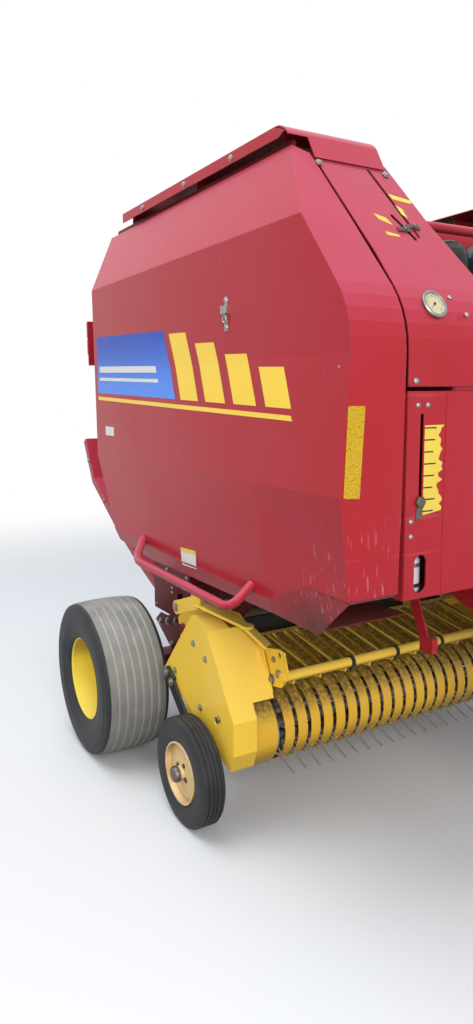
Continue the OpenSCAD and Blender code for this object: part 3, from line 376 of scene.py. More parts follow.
tread_rubber = moulded("tread_rubber", (0.19, 0.19, 0.185, 1), gloss=0.8, dust=0.75, dusty=(0.46, 0.45, 0.43, 1))
groove_rubber = moulded("groove_rubber", (0.40, 0.385, 0.34, 1), gloss=0.9, dust=0.9, dusty=(0.72, 0.69, 0.61, 1))
wall_rubber = moulded("wall_rubber", (0.017, 0.019, 0.024, 1), gloss=0.55, dust=0.22)
# The rims take a lighter copy of the yellow enamel: painted sunlight.
rim_yellow_and_sunlight = painted("rim_yellow_painted_sunlight", (1.0, 0.76, 0.08, 1), (1.0, 0.80, 0.17, 1),
                    gloss=0.35, dust=0.15, wear=0.7, coat=0.12)
dress(rim_yellow_and_sunlight, "wheel_rim_R", "wheel_rim_L")
tyre_r = wheel_high.z / 2
tyre_w = wheel_high.x - wheel_low.x
track_half = -(wheel_low.x + wheel_high.x) / 2
ribs = 7
rib_edge = 0.002
groove_w = 0.011
groove_deep = 0.011
crown_drop = 0.008
tread_half = 0.42 * tyre_w


def crown(across):
    """The tread's radius at a distance from its middle."""
    return tyre_r - 0.001 - crown_drop * (across / tread_half) ** 2


def tread_profile():
    """Outline of the ribbed tread across the tyre, from one shoulder to the other."""
    pitch = 2 * tread_half / ribs
    points = []
    for i in range(ribs):
        left_edge = -tread_half + i * pitch + (groove_w / 2 if i else 0)
        right_edge = -tread_half + (i + 1) * pitch - (groove_w / 2 if i < ribs - 1 else 0)
        points += [(crown(left_edge) - rib_edge, left_edge), (crown(left_edge), left_edge + rib_edge),
                   (crown(right_edge), right_edge - rib_edge), (crown(right_edge) - rib_edge, right_edge)]
        if i < ribs - 1:
            deep = crown(right_edge) - groove_deep
            points += [(deep, right_edge + rib_edge), (deep, right_edge + groove_w - rib_edge)]
    return points


def round_axle(middle, radius, angle):
    """A place round an axle that runs across the machine."""
    return Vector(middle) + Vector((0, radius * math.cos(angle), radius * math.sin(angle)))


rim_r = 0.201
bead = 0.40
nut_ring = 0.072
wall_profile = [(rim_r, bead), (rim_r + 0.004, 0.435), (rim_r + 0.020, 0.462), (rim_r + 0.024, 0.458),
                (0.262, 0.486), (0.266, 0.492), (0.290, 0.499), (0.310, 0.499), (0.334, 0.496), (0.338, 0.488),
                (0.358, 0.484), (0.371, 0.462)]
rim_lip = [(rim_r + 0.0005, 0.385), (rim_r + 0.003, 0.402), (rim_r + 0.013, 0.408), (rim_r + 0.014, 0.420),
           (rim_r + 0.008, 0.424), (rim_r - 0.004, 0.414), (rim_r - 0.008, 0.398), (rim_r - 0.008, 0.385),
           (rim_r + 0.0005, 0.385)]
for side, name in ((-1, "R"), (1, "L")):
    tyre = bmesh.new()
    hub_place = at(side * track_half, 0, tyre_r)
    tread = tread_profile()
    outer_wall = [(radius, -part * tyre_w) for radius, part in wall_profile]
    inner_wall = [(radius, part * tyre_w) for radius, part in reversed(wall_profile)]
    turn(tyre, outer_wall + [tread[0]], hub_place, (1, 0, 0), 96, 1)
    turn(tyre, tread, hub_place, (1, 0, 0), 96, 0)
    turn(tyre, [tread[-1]] + inner_wall, hub_place, (1, 0, 0), 96, 1)
    turn(tyre, [(rim_r, bead * tyre_w), (rim_r, -bead * tyre_w)], hub_place, (1, 0, 0), 96, 1)
    bmesh.ops.remove_doubles(tyre, verts=tyre.verts, dist=1e-5)
    for face in tyre.faces:
        middle = face.calc_center_median() - hub_place
        sunk = crown(middle.x) - math.hypot(middle.y, middle.z)
        if 0.004 < sunk < groove_deep + 0.004 and abs(middle.x) < tread_half - groove_w:
            face.material_index = 2
    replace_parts(add_piece(f"ribbed_tyre_{name}", tyre, f"wheel_{name}", "tyre_rubber", tread_rubber, wall_rubber,
                          groove_rubber, sharp=28), f"wheel_tyre_{name}")
    fittings = bmesh.new()
    disc_place = at(side * (track_half - 0.005), 0, tyre_r)
    for i in range(6):
        bolt(fittings, round_axle(disc_place, nut_ring, math.tau * i / 6), (side, 0, 0), 0.019)
    hub_end = at(side * (track_half + 0.025), 0, tyre_r)
    turn(fittings, [(0, 0), (0.042, 0), (0.042, 0.006), (0.036, 0.012), (0, 0.014)], hub_end, (side, 0, 0), 32)
    add_piece(f"wheel_nuts_{name}", fittings, f"wheel_{name}", "bare_steel", steel)
    lips = bmesh.new()
    for half in (1, -1):
        turn(lips, [(radius, half * part * tyre_w) for radius, part in rim_lip], hub_place, (1, 0, 0), 72)
    valve_place = at(side * (track_half - 0.015), 0.130, tyre_r)
    turn(lips, [(0.0, -0.02), (0.006, -0.02), (0.006, 0.03), (0.0045, 0.034), (0.0, 0.034)], valve_place,
         (side, 0.4, 0), 12)
    add_piece(f"rim_lips_{name}", lips, f"wheel_{name}", "yellow_paint", rim_yellow_and_sunlight)


# Tongue, hitch, jack and driveline: a box beam with a bolted clevis, a crank-up parking jack at its side
# and a shaft in a ribbed plastic guard. The steel parts are bare where the tractor's drawbar rubs.
# The second red is the paler tint of faces that look up: partly sun fading, partly a painted sky reflection.
red_enamel, red_fade_and_sheen = (0.43, 0.015, 0.022, 1), (0.52, 0.075, 0.145, 1)
red_paint = painted("red_enamel", red_enamel, red_fade_and_sheen, gloss=0.2, dust=0.3, wear=0.35, coat=0.1)
dress(red_paint, "tongue", "jack_tube")
dress(steel, "hitch_clevis", "jack_leg")
black_plastic = moulded("black_plastic", (0.02, 0.02, 0.021, 1), gloss=0.45, dust=0.4)
dress(black_plastic, "pto_shaft")
jack_y = -2.350
hitch_bolts = bmesh.new()
for side in (1, -1):
    for z in (0.445, 0.515):
        bolt(hitch_bolts, at(side * 0.030, -2.742, z), (0, -1, 0), 0.022)
    for z, out in ((0.575, (0, side, 0)), (0.625, right)):
        bolt(hitch_bolts, at(-0.112, jack_y + side * 0.028, z), out, 0.018)
add_piece("hitch_bolts", hitch_bolts, "frame", "bare_steel", steel)

guard = bmesh.new()
pto_rear, pto_tip = at(0, -1.432, 1.240), at(0, -2.640, 0.720)
pto_way = (pto_tip - pto_rear).normalized()
bell_r, bell_half, rib_pitch = 0.0625, 0.075, 0.020
for middle in (pto_rear + pto_way * bell_half, pto_tip - pto_way * bell_half):
    for i in range(6):
        rib = (i - 2.5) * rib_pitch
        turn(guard, [(bell_r - 0.002, rib - 0.005), (bell_r + 0.004, rib - 0.003), (bell_r + 0.004, rib + 0.003),
                     (bell_r - 0.002, rib + 0.005)], middle, pto_way, 36)
for reach in (0.55, 0.80):
    turn(guard, [(0.039, -0.012), (0.046, -0.010), (0.046, 0.010), (0.039, 0.012)],
         pto_rear + pto_way * reach, pto_way, 36)
add_piece("guard_ribs", guard, "frame", "black_plastic", black_plastic)
crank = bmesh.new()
turn(crank, [(0, 0), (0.014, 0), (0.017, 0.008), (0.017, 0.070), (0.013, 0.080), (0, 0.082)],
     at(-0.276, jack_y, 0.925), (0, 0, 1), 20)
add_piece("crank_knob", crank, "frame", "black_plastic", black_plastic)


# Chain drive: two roller chains over steel sprockets at the left, greased and dusty.
# The heads of the links' pins stand a little proud on the straight runs.
chain_steel = bare_metal("chain_steel", (0.20, 0.17, 0.15, 1), gloss=0.45, rust=0.6)
dress(chain_steel, "chain_drive")
links = bmesh.new()
pin_step = 0.032
long_x, long_loop = 0.628, [(-1.330, 1.250, 0.062), (-0.640, 0.900, 0.087), (-1.040, 1.260, 0.087)]
short_x, short_loop = 0.650, [(-0.640, 0.900, 0.062), (-0.430, 0.700, 0.077)]
for x, loop in ((long_x, long_loop), (short_x, short_loop)):
    for i, (y, z, chain_r) in enumerate(loop):
        next_y, next_z, next_r = loop[(i + 1) % len(loop)]
        way = Vector((0, next_y - y, next_z - z))
        lean = (chain_r - next_r) / way.length
        along = way.normalized()
        outward = Vector((0, along.z, -along.y)) * math.sqrt(1 - lean * lean) + along * lean
        first, last = at(x, y, z) + outward * chain_r, at(x, next_y, next_z) + outward * next_r
        for k in range(int((last - first).length / pin_step)):
            place = first + (last - first).normalized() * pin_step * (k + 0.5)
            turn(links, [(0, 0), (0.0045, 0), (0.0045, 0.003), (0, 0.0035)], place, (1, 0, 0), 8)
add_piece("chain_pins", links, "frame", "bare_steel", steel)


# Bale chamber: steel rollers and six flat rubber belts, dark with chaff between them.
# They show through the gaps above the pickup and where the side plates stop.
# Four black rubber flaps hang side by side in the throat behind the pickup, and close it with painted shade.
dress(steel, "chamber_rollers", "tailgate_rollers")
belt_rubber = moulded("belt_rubber", (0.03, 0.03, 0.03, 1), gloss=0.65, dust=0.3)
dress(belt_rubber, "front_belts", "tailgate_belts")


def plate(mesh, outline, lift, finish=0):
    """Adds a flat plate from its back outline and the way to its front."""
    back = [mesh.verts.new(Vector(p)) for p in outline]
    front = [mesh.verts.new(Vector(p) + Vector(lift)) for p in outline]
    for corners in [back, front] + [[back[i - 1], back[i], front[i], front[i - 1]] for i in range(len(back))]:
        mesh.faces.new(corners).material_index = finish


flap_half = 0.143
flap_foot, flap_top = (-0.375, 0.480), (-0.372, 0.672)
# The flaps' black fills the throat with painted shade.
flap_and_throat_shade = bmesh.new()
for x in (-0.435, -0.145, 0.145, 0.435):
    plate(flap_and_throat_shade, [at(x - flap_half, *flap_foot), at(x + flap_half, *flap_foot), at(x + flap_half, *flap_top),
                 at(x - flap_half, *flap_top)], (0, 0.006, 0))
add_piece("throat_flaps_and_shade", flap_and_throat_shade, "frame", "black_plastic", belt_rubber)


# Tailgate: the rear half of the chamber's shell with its lamps and its two lift cylinders.
# Black barrels are painted, rods are hard chrome, and the lenses are moulded plastic.
dress(red_paint, "tailgate")
black_paint = painted("black_paint", (0.018, 0.018, 0.02, 1), (0.04, 0.04, 0.042, 1),
                      gloss=0.35, dust=0.7, wear=0.5, coat=0.2)
dress(black_paint, "gate_barrel_R", "gate_barrel_L")
chrome = bare_metal("chromed_rod", (0.62, 0.62, 0.64, 1), gloss=0.12, rust=0.0)
dress(chrome, "gate_rod_R", "gate_rod_L")
lamp_red = moulded("lamp_lens", (0.5, 0.02, 0.015, 1), gloss=0.15, dust=0.2)
lamp_amber = moulded("amber_lens", (0.75, 0.24, 0.01, 1), gloss=0.15, dust=0.2)
dress(lamp_red, "tail_lamps")


def panel(mesh, y, corners, lift, finish=0):
    """Adds an upright plate that faces along the machine, from its (x, z) corners."""
    plate(mesh, [(x, y, z) for x, z in corners], (0, lift, 0), finish)


def oblong(x0, x1, z0, z1):
    return [(x0, z0), (x1, z0), (x1, z1), (x0, z1)]


lamp_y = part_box("tail_lamps")[1].y
lenses = bmesh.new()
for side in (1, -1):
    for lamp_z, finish in ((2.140, 0), (2.040, 1)):
        panel(lenses, lamp_y, oblong(side * 0.738, side * 0.647, lamp_z + 0.007, lamp_z + 0.088), 0.004, finish)
add_piece("lamp_lenses", lenses, "tailgate", "lamp_lens", lamp_red, lamp_amber)
gate_fittings = bmesh.new()
in_pairs(bolt, gate_fittings, [(-0.750, y, z) for y, z in (
    (0.10, 0.785), (0.50, 0.955), (0.85, 1.150), (1.100, 1.380))], right, 0.018)
in_pairs(bolt, gate_fittings, [(-0.618, 0.060, 2.480)], right, 0.030)
in_pairs(rivet, gate_fittings, [(-0.11, 1.181, z) for z in (1.505, 1.625)], (0, 1, 0), 0.007)
add_piece("tailgate_bolts", gate_fittings, "tailgate", "bare_steel", steel)


# Front sheets: the sloped shields, the lower boxes and the lid of the net-wrap box, folded from red sheet.
# They are riveted and screwed to the frame, with a return fold along each edge where two sheets meet.
dress(red_paint, "front_shield_R", "front_shield_L", "front_boxes", "chamber_cover", "front_lid")
sheet_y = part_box("front_boxes")[0].y
front_y = -1.820
ahead = (0, -1, 0)
slope_out = Vector((0, -0.7809, 0.6247))
slope_down = Vector((0, -0.6247, -0.7809))
front_bits = bmesh.new()
in_pairs(rivet, front_bits, [(x, sheet_y - axle_y, z) for x, z in (
    (-0.746, 1.742), (-0.706, 1.742), (-0.763, 1.394), (-0.762, 1.348))], ahead, 0.009)
in_pairs(rivet, front_bits, [(-0.580, -1.771, 2.065)], slope_out, 0.008)
in_pairs(rivet, front_bits, [(-0.550, -1.814, 2.011)], (0, -0.95, 0.31), 0.008)
in_pairs(bolt, front_bits, [(-0.815, -1.417, 2.512), (-0.535, -1.417, 2.512)], slope_out, 0.016)
in_pairs(rivet, front_bits, [(-0.757, front_y, 1.812)], ahead, 0.011)
add_piece("sheet_rivets", front_bits, "frame", "bare_steel", steel)
seams = bmesh.new()
for side in (1, -1):
    for x0, x1, z0, z1, thick in ((-0.630, -0.402, 1.152, 1.778, 0.0015), (-0.787, -0.775, 1.152, 1.780, 0.002),
                                  (-0.785, -0.400, 1.797, 1.803, 0.004)):
        panel(seams, sheet_y, oblong(side * x0, side * x1, z0, z1), -thick)
add_piece("sheet_seams", seams, "frame", "red_paint", red_paint)


# Bale-size marks: yellow printed film beside the slots, worn by weather to torn scraps.
# Steel pointers ride in the slots on the machine's control rods, over black painted plates that are partly guide plates
# and partly painted shade for the dark space behind the slots.
scale_yellow = moulded("scale_yellow", (0.85, 0.62, 0.09, 1), gloss=0.5, dust=0.15)
print_black = moulded("print_black", (0.02, 0.02, 0.02, 1), gloss=0.5, dust=0.1)
knee_top, slope_rise = 2.0045, 1.25


def on_slope(x, y, out=0.0):
    """A place on the sloped shields, a distance out from the sheet."""
    return at(x, y, knee_top + slope_rise * (y - front_y)) + slope_out * out


film_t = 0.0008
scale_left, scale_foot, scale_top = -0.716, 1.410, 1.672
mark_step, tear_step = 0.036, 0.0105
scale = bmesh.new()
chance = random.Random(11)
torn = [(-0.636 - chance.uniform(0.0, 0.026), scale_top - tear_step * i) for i in range(25)]
panel(scale, sheet_y, [(scale_left, scale_foot), (scale_left, scale_top + 0.010), (-0.634, scale_top + 0.010)] + torn,
      -film_t)
for i in range(8):
    z = scale_top - mark_step * i
    mark_end = -0.668 - 0.006 * (i % 3)
    panel(scale, sheet_y - film_t, oblong(scale_left, mark_end, z, z + 0.004), -film_t / 2, 1)
scraps = [[(-0.576, -1.478), (-0.484, -1.489), (-0.492, -1.500), (-0.570, -1.494)],
          [(-0.575, -1.512), (-0.553, -1.522), (-0.553, -1.551), (-0.570, -1.540)],
          [(-0.699, -1.549), (-0.655, -1.558), (-0.641, -1.578), (-0.688, -1.566)],
          [(-0.693, -1.600), (-0.640, -1.606), (-0.641, -1.612), (-0.690, -1.610)]]
for scrap in scraps:
    plate(scale, [on_slope(x, y) for x, y in scrap], slope_out * film_t)
add_piece("worn_scales", scale, "frame", "black_plastic", scale_yellow, print_black)

pointer_half = 0.009
pointers = bmesh.new()
for x, y, wide in ((-0.5535, -1.578, 0.057), (-0.605, -1.590, 0.056)):
    middle = on_slope(x, y, 0.002)
    corners = [middle + Vector((a * wide / 2, 0, 0)) + slope_down * b * pointer_half for a, b in
               ((-1, -1), (0.75, -1), (1, 0), (0.75, 1), (-1, 1))]
    plate(pointers, corners, slope_out * 0.004)
    turn(pointers, [(0.008, 0), (0.008, 0.010), (0.005, 0.013), (0, 0.013)], middle, slope_out, 12)
turn(pointers, [(0.0, 0.0), (0.019, 0.0), (0.019, 0.010), (0.015, 0.014), (0.0, 0.014)],
     (-0.731, sheet_y, 1.452), ahead, 6)
panel(pointers, sheet_y, [(-0.745, 1.400), (-0.722, 1.396), (-0.716, 1.440), (-0.742, 1.446)], -0.003)
add_piece("size_pointers", pointers, "frame", "bare_steel", chain_steel)

# Black plates under the slots: guide plates, and painted shade for the dark space behind them.
guides_and_slot_shade = bmesh.new()
plate(guides_and_slot_shade, [on_slope(x, y, -0.030) for x, y in ((-0.650, -1.335), (-0.520, -1.335), (-0.520, -1.650),
                                                   (-0.650, -1.650))], slope_out * -0.003)
panel(guides_and_slot_shade, sheet_y + 0.040, oblong(-0.755, -0.700, 1.390, 1.725), 0.003)
add_piece("slot_guides_and_shade", guides_and_slot_shade, "frame", "black_paint", black_paint)


# Pressure gauge: a steel case with a rolled rim, set through the right-hand shield where the sheet bends.
# Its face is a yellowed card with printed marks, under a thin black hand on a hub.
dial_face = moulded("dial_face", (0.62, 0.56, 0.36, 1), gloss=0.3, dust=0.3)
dial_place = at(-0.662, -1.785, 2.0369)
dial_out = Vector((0, -0.8905, 0.4550))
dial_up = Vector((0, 0.4550, 0.8905))
marks, mark_turn = 21, 13.5
mark_half, hand_half = 0.0007, 0.0015
dial = bmesh.new()
turn(dial, [(0.0, -0.030), (0.038, -0.030), (0.038, 0.0), (0.046, 0.0), (0.046, 0.009), (0.042, 0.0115),
            (0.037, 0.0105), (0.035, 0.0055)], dial_place, dial_out, 48, 0)
turn(dial, [(0.0355, 0.006), (0.0, 0.006)], dial_place, dial_out, 48, 1)
foot = dial_place + dial_out * 0.006
for i in range(marks):
    angle = math.radians(-135 + mark_turn * i)
    ray = Vector((1, 0, 0)) * math.sin(angle) + dial_up * math.cos(angle)
    beside = ray.cross(dial_out) * mark_half
    inner, outer = (0.024, 0.030) if i % 5 == 0 else (0.027, 0.030)
    plate(dial, [foot + ray * inner - beside, foot + ray * outer - beside, foot + ray * outer + beside,
                 foot + ray * inner + beside], dial_out * 0.0004, 2)
ray = (Vector((1, 0, 0)) * -0.75 + dial_up * -0.66).normalized()
beside = ray.cross(dial_out) * hand_half
foot = dial_place + dial_out * 0.007
plate(dial, [foot - ray * 0.008 - beside, foot + ray * 0.026, foot - ray * 0.008 + beside], dial_out * 0.0006, 2)
turn(dial, [(0.004, 0), (0.004, 0.002), (0, 0.0025)], foot, dial_out, 16, 2)
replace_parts(add_piece("gauge_dial", dial, "frame", "bare_steel", steel, dial_face, print_black), "pressure_gauge")


# Net wrap, oiler and accumulators: the roll of white net lies in its box behind the riveted lid.
# A white plastic bottle in steel bands, for the chains' oil, shows through the peep hole.
# The accumulators are black painted steel vessels on a shelf between the sloped shields.
net_white = moulded("net_plastic", (0.72, 0.74, 0.74, 1), gloss=0.6, dust=0.2)
dress(net_white, "net_roll")
dress(black_paint, "accumulators")
bottle_x, bottle_y = -0.700, sheet_y + 0.075
oiler = bmesh.new()
turn(oiler, [(0, 0), (0.034, 0), (0.038, 0.005), (0.038, 0.105), (0.030, 0.122), (0.014, 0.130), (0.014, 0.142),
             (0.018, 0.144), (0.018, 0.158), (0.015, 0.161), (0, 0.161)], (bottle_x, bottle_y, 1.156), (0, 0, 1), 32)
for z in (1.180, 1.245):
    turn(oiler, [(0.0375, -0.006), (0.0395, -0.006), (0.0395, 0.006), (0.0375, 0.006)],
         (bottle_x, bottle_y, z), (0, 0, 1), 32, 1)
add_piece("oiler_bottle", oiler, "frame", "net_white", net_white, steel)
lid_y = -1.826
lid_fittings = bmesh.new()
for x in (-0.30, 0.30):
    for z in (1.700, 1.220):
        rivet(lid_fittings, at(x, lid_y, z), ahead, 0.008)
    panel(lid_fittings, lid_y + axle_y, oblong(x - 0.030, x + 0.030, 1.190, 1.208), -0.004)
add_piece("lid_rivets", lid_fittings, "lid", "bare_steel", steel)


# Roof covers: red sheets with rounded fronts that hang over the shields' hinges and keep the rain off them.
# Three bolts hold each cover's side flange to the hinge rail. The cross tube between them is painted alike.
dress(red_paint, "roof_covers", "top_tube")
roof_bolts = bmesh.new()
in_pairs(bolt, roof_bolts, [(-0.900, y, 2.624) for y in (-1.00, -0.62, -0.20)], right, 0.015)
add_piece("roof_bolts", roof_bolts, "frame", "bare_steel", steel)


# Side shields: the big gull-wing doors, sheets folded along sharp creases, with a lift handle of bent tube.
# Each wears bands of blue and yellow film, small plain labels, an amber reflector at its front corner
# and a zinc-plated latch. Hay and gateposts have scuffed the low front corners, and a dark patch there is a painted
# reflection of the shaded ground.
shield_paint = painted("shield_red_enamel", red_enamel, red_fade_and_sheen, gloss=0.18, dust=0.25, wear=0.35, coat=0.1,
                       scuffs_and_chin_reflection=0.6)
dress(shield_paint, "side_shield_R", "side_shield_L")


def printed_fade(name, low_colour, high_colour, low, high):
    """Printed film whose colour runs from one blue to another with height, glossy and a little dusty."""
    finish, start = start_finish(name)
    shade = blend_colours(start, fade(start, height(start), low, high), low_colour, high_colour)
    dull = grain(start, 12, 5)
    return close_finish(finish, start, {
        "Base Color": blend_colours(start, dull * 0.04, shade, dust_colour), "Roughness": dull * 0.2 + 0.2,
        "Specular IOR Level": 0.2, "Normal": bumped(start, grain(start, 300, 3), 0.3, 0.0003)})


def reflex_film(name, border_colour, cell_colour):
    """Reflecting film: small sealed cells with duller borders."""
    finish, start = start_finish(name)
    border = start.node("ShaderNodeTexVoronoi", {"feature": "DISTANCE_TO_EDGE"},
                        {"Vector": place_on(start), "Scale": 150})
    cell = fade(start, border, 0.03, 0.12)
    return close_finish(finish, start, {
        "Base Color": blend_colours(start, cell, border_colour, cell_colour), "Roughness": 0.45 - cell * 0.2,
        "Specular IOR Level": 0.3, "Normal": bumped(start, cell, 0.4, 0.0006)})


decal_blue = printed_fade("decal_blue", (0.09, 0.28, 0.88, 1), (0.006, 0.06, 0.46, 1), 1.77, 2.08)
decal_yellow = moulded("decal_yellow", (1.0, 0.66, 0.06, 1), gloss=0.3, dust=0.06)
label_white = moulded("label_white", (0.80, 0.79, 0.76, 1), gloss=0.45, dust=0.25)
amber_film = reflex_film("reflector_film", (0.45, 0.24, 0.006, 1), (0.68, 0.44, 0.012, 1))


def surface_of(name):
    """The node's surface, for setting films on it."""
    piece = nodes[name]
    spots = [piece.matrix_world @ v.co for v in piece.data.vertices]
    return BVHTree.FromPolygons(spots, [list(p.vertices) for p in piece.data.polygons])


clear_of_shield, reach_in = 1.062, 0.3


def film(mesh, surface, side, corners, finish, lift=0.0007, cell=0.02):
    """Lays a four-cornered film on a side shield. Corners are (forward, up) places."""
    a, b, c, d = [Vector(p) for p in corners]
    long = max(1, round(max((b - a).length, (c - d).length) / cell))
    high = max(1, round(max((d - a).length, (c - b).length) / cell))
    rows = []
    for i in range(high + 1):
        row = []
        for j in range(long + 1):
            flat = (a.lerp(b, j / long)).lerp(d.lerp(c, j / long), i / high)
            start_at = at(side * clear_of_shield, flat.x, flat.y)
            hit = surface.ray_cast(start_at, Vector((-side, 0, 0)), reach_in)[0]
            row.append(mesh.verts.new(Vector((hit.x + side * lift, hit.y, hit.z))))
        rows.append(row)
    for low_row, high_row in zip(rows, rows[1:]):
        for j in range(long):
            face = mesh.faces.new([low_row[j], low_row[j + 1], high_row[j + 1], high_row[j]])
            face.material_index = finish


on_top = 0.0011
band_rear = 0.19
latch_y, latch_z = -1.129, 2.060
for side, name in ((-1, "R"), (1, "L")):
    surface = surface_of(f"side_shield_{name}")
    decal = bmesh.new()
    film(decal, surface, side, [(band_rear, 1.80), (-0.72, 1.765), (-0.60, 2.045), (band_rear, 2.075)], 0)
    for k in range(4):
        y, tall, sink = -0.77 - 0.21 * k, 0.265 - 0.045 * k, 0.008 * k
        lean = 0.43 * tall
        film(decal, surface, side, [(y, 1.763 - sink), (y - 0.15, 1.757 - sink),
                                    (y - 0.15 + lean, 1.757 + tall - sink), (y + lean, 1.763 + tall - sink)], 1)
    film(decal, surface, side, [(band_rear, 1.765), (-1.56, 1.695), (-1.55, 1.712), (band_rear, 1.782)], 1)
    film(decal, surface, side, [(0.16, 1.86), (-0.55, 1.835), (-0.545, 1.850), (0.16, 1.875)], 2, on_top)
    film(decal, surface, side, [(0.16, 1.90), (-0.53, 1.877), (-0.520, 1.905), (0.16, 1.930)], 2, on_top)
    film(decal, surface, side, [(-0.732, 1.082), (-0.862, 1.089), (-0.864, 1.164), (-0.727, 1.157)], 2)
    film(decal, surface, side, [(0.101, 1.590), (-0.018, 1.590), (-0.018, 1.632), (0.101, 1.635)], 2)
    film(decal, surface, side, [(-0.732, 1.140), (-0.863, 1.147), (-0.864, 1.164), (-0.727, 1.157)], 3, on_top)
    add_piece(f"side_decals_{name}", decal, f"shield_{name}", "black_plastic", decal_blue, decal_yellow, label_white,
              scale_yellow)
    strip = bmesh.new()
    panel(strip, front_y - 0.0005 + axle_y, [(side * x, z) for x, z in (
        (1.009, 1.743), (0.948, 1.742), (0.964, 1.479), (1.022, 1.484))], -0.0022)
    add_piece(f"reflector_{name}", strip, f"shield_{name}", "lamp_lens", amber_film)
    latch = bmesh.new()
    out = Vector((side, 0, 0))
    for z in (latch_z + 0.046, latch_z - 0.046):
        rivet(latch, at(side, latch_y, z), out, 0.011)
    plate(latch, [at(side, y, z) for y, z in ((-1.106, 2.060), (-1.144, 2.060), (-1.144, 2.088), (-1.106, 2.088))],
          out * 0.012)
    ring = [at(side * 1.008, latch_y + 0.011 * math.cos(a), latch_z - 0.016 + 0.014 * math.sin(a))
            for a in [math.tau * i / 16 for i in range(17)]]
    bar(latch, ring, 0.003, 6)
    plate(latch, [at(side, y, z) for y, z in ((-1.120, 2.000), (-1.138, 2.000), (-1.138, 2.118), (-1.120, 2.118))],
          out * 0.003)
    rivet(latch, at(side, -1.771, 1.852), out, 0.006)
    add_piece(f"shield_latch_{name}", latch, f"shield_{name}", "bare_steel", steel)


# Pickup: yellow stripper bands round a tine reel, end shields, and the windguard that lies over the hay.
# Hay has greased and darkened the paint of the bands, and painted shadow darkens their tops further. The tines are
# spring wire, wound in coils on their bars.
# Bolts hold the end shields and arms, and black clips hold the guard rods to their tube.
yellow_paint = painted("yellow_enamel", (1.0, 0.63, 0.055, 1), (1.0, 0.70, 0.14, 1),
                       gloss=0.32, dust=0.15, wear=0.9, coat=0.15, splash=0.03)
dress(yellow_paint, "pickup_frame", "pickup_ends", "windguard")
band_paint = painted("band_yellow", (0.86, 0.48, 0.03, 1), (0.85, 0.55, 0.09, 1),
                     gloss=0.3, dust=0.35, wear=1.0, coat=0.2, splash=0.08, grime_and_shadow=0.8)
dress(band_paint, "pickup_bands")
spring_steel = bare_metal("spring_steel", (0.46, 0.455, 0.44, 1), gloss=0.3, rust=0.1, shine=0.4)
dress(spring_steel, "pickup_reel")
bands, band_pitch = 21, 0.067
band_y, band_z, band_r = -0.879, 0.385, 0.1695
reel_y, reel_z, reel_bar_r = -0.914, 0.373, 0.095
coils = bmesh.new()
for bar_turn in (210, 300, 30, 120):
    for i in range(bands + 1):
        middle = at((i - bands / 2) * band_pitch - 0.016, reel_y, reel_z)
        turn(coils, [(0.014, 0), (0.020, 0.002), (0.020, 0.030), (0.014, 0.032)],
             round_axle(middle, reel_bar_r, math.radians(bar_turn)), (1, 0, 0), 12)
add_piece("tine_coils", coils, "reel", "tine_steel", chain_steel)
pickup_bolts = bmesh.new()
in_pairs(bolt, pickup_bolts, [(-0.960, y, z) for y, z in (
    (-0.744, 0.738), (-0.850, 0.700), (-0.960, 0.480), (-0.560, 0.560), (-0.800, 0.470))], right, 0.017)
in_pairs(bolt, pickup_bolts, [(-0.978, -0.500, 0.535), (-0.978, -0.550, 0.505)], right, 0.024)
for i in range(bands):
    for rivet_turn in (150, 215):
        angle = math.radians(rivet_turn)
        middle = at((i - (bands - 1) / 2) * band_pitch, band_y, band_z)
        rivet(pickup_bolts, round_axle(middle, band_r, angle), round_axle((0, 0, 0), 1, angle), 0.0045, 1)
add_piece("pickup_bolts", pickup_bolts, "pickup", "bare_steel", steel, band_paint)
ear_bolts = bmesh.new()
in_pairs(bolt, ear_bolts, [(-0.734, -1.010, 0.622), (-0.734, -1.060, 0.657), (-0.950, -0.560, 0.850)], right, 0.024)
in_pairs(bolt, ear_bolts, [(-0.734, -1.022, 0.709)], right, 0.016)
add_piece("windguard_bolts", ear_bolts, "windguard", "bare_steel", steel)
guard_tube = (-1.085, 0.652)
clips = bmesh.new()
for x in (-0.384, -0.135, 0.135, 0.384):
    turn(clips, [(0.021, -0.009), (0.026, -0.009), (0.026, 0.009), (0.021, 0.009)], at(x, *guard_tube), (1, 0, 0), 24)
    plate(clips, [at(x - 0.006, -1.096, 0.632), at(x + 0.006, -1.096, 0.632), at(x + 0.006, -1.080, 0.606),
                  at(x - 0.006, -1.080, 0.606)], (0, -0.004, 0))
add_piece("tube_clips", clips, "windguard", "black_paint", black_paint)


# Gauge wheels: small tyres with shallow ribs on pale pressed rims, each on a black painted arm.
# A steel cap closes the hub inside a ring of four bolts. Rust creeps out from the rim's edge.
dress(black_paint, "gauge_arms")
pale_paint = painted("faded_orange_paint", (0.84, 0.58, 0.27, 1), (0.88, 0.68, 0.42, 1),
                     gloss=0.5, dust=0.4, wear=1.0, coat=0.1)
dress(pale_paint, "gauge_rim_R", "gauge_rim_L")
gauge_low, gauge_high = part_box("gauge_tyre_R")
gauge_r = (gauge_high.z - gauge_low.z) / 2
gauge_w = gauge_high.x - gauge_low.x
gauge_mid = (gauge_low + gauge_high) / 2
gauge_x = abs(gauge_mid.x)
gauge_bead = 0.130
cap_out, disc_out, bolt_ring = 0.066, 0.036, 0.041
gauge_wall = [(gauge_bead, 0.40), (gauge_bead + 0.004, 0.43), (gauge_bead + 0.018, 0.46), (0.176, 0.496),
              (0.190, 0.499), (0.202, 0.490), (0.218, 0.455)]
gauge_tread = [(gauge_r - 0.004, 0.40), (gauge_r - 0.001, 0.36), (gauge_r - 0.001, 0.29), (gauge_r - 0.005, 0.28),
               (gauge_r - 0.005, 0.25), (gauge_r - 0.0005, 0.24), (gauge_r - 0.0005, 0.10), (gauge_r - 0.005, 0.09),
               (gauge_r - 0.005, 0.06), (gauge_r - 0.0005, 0.05)]
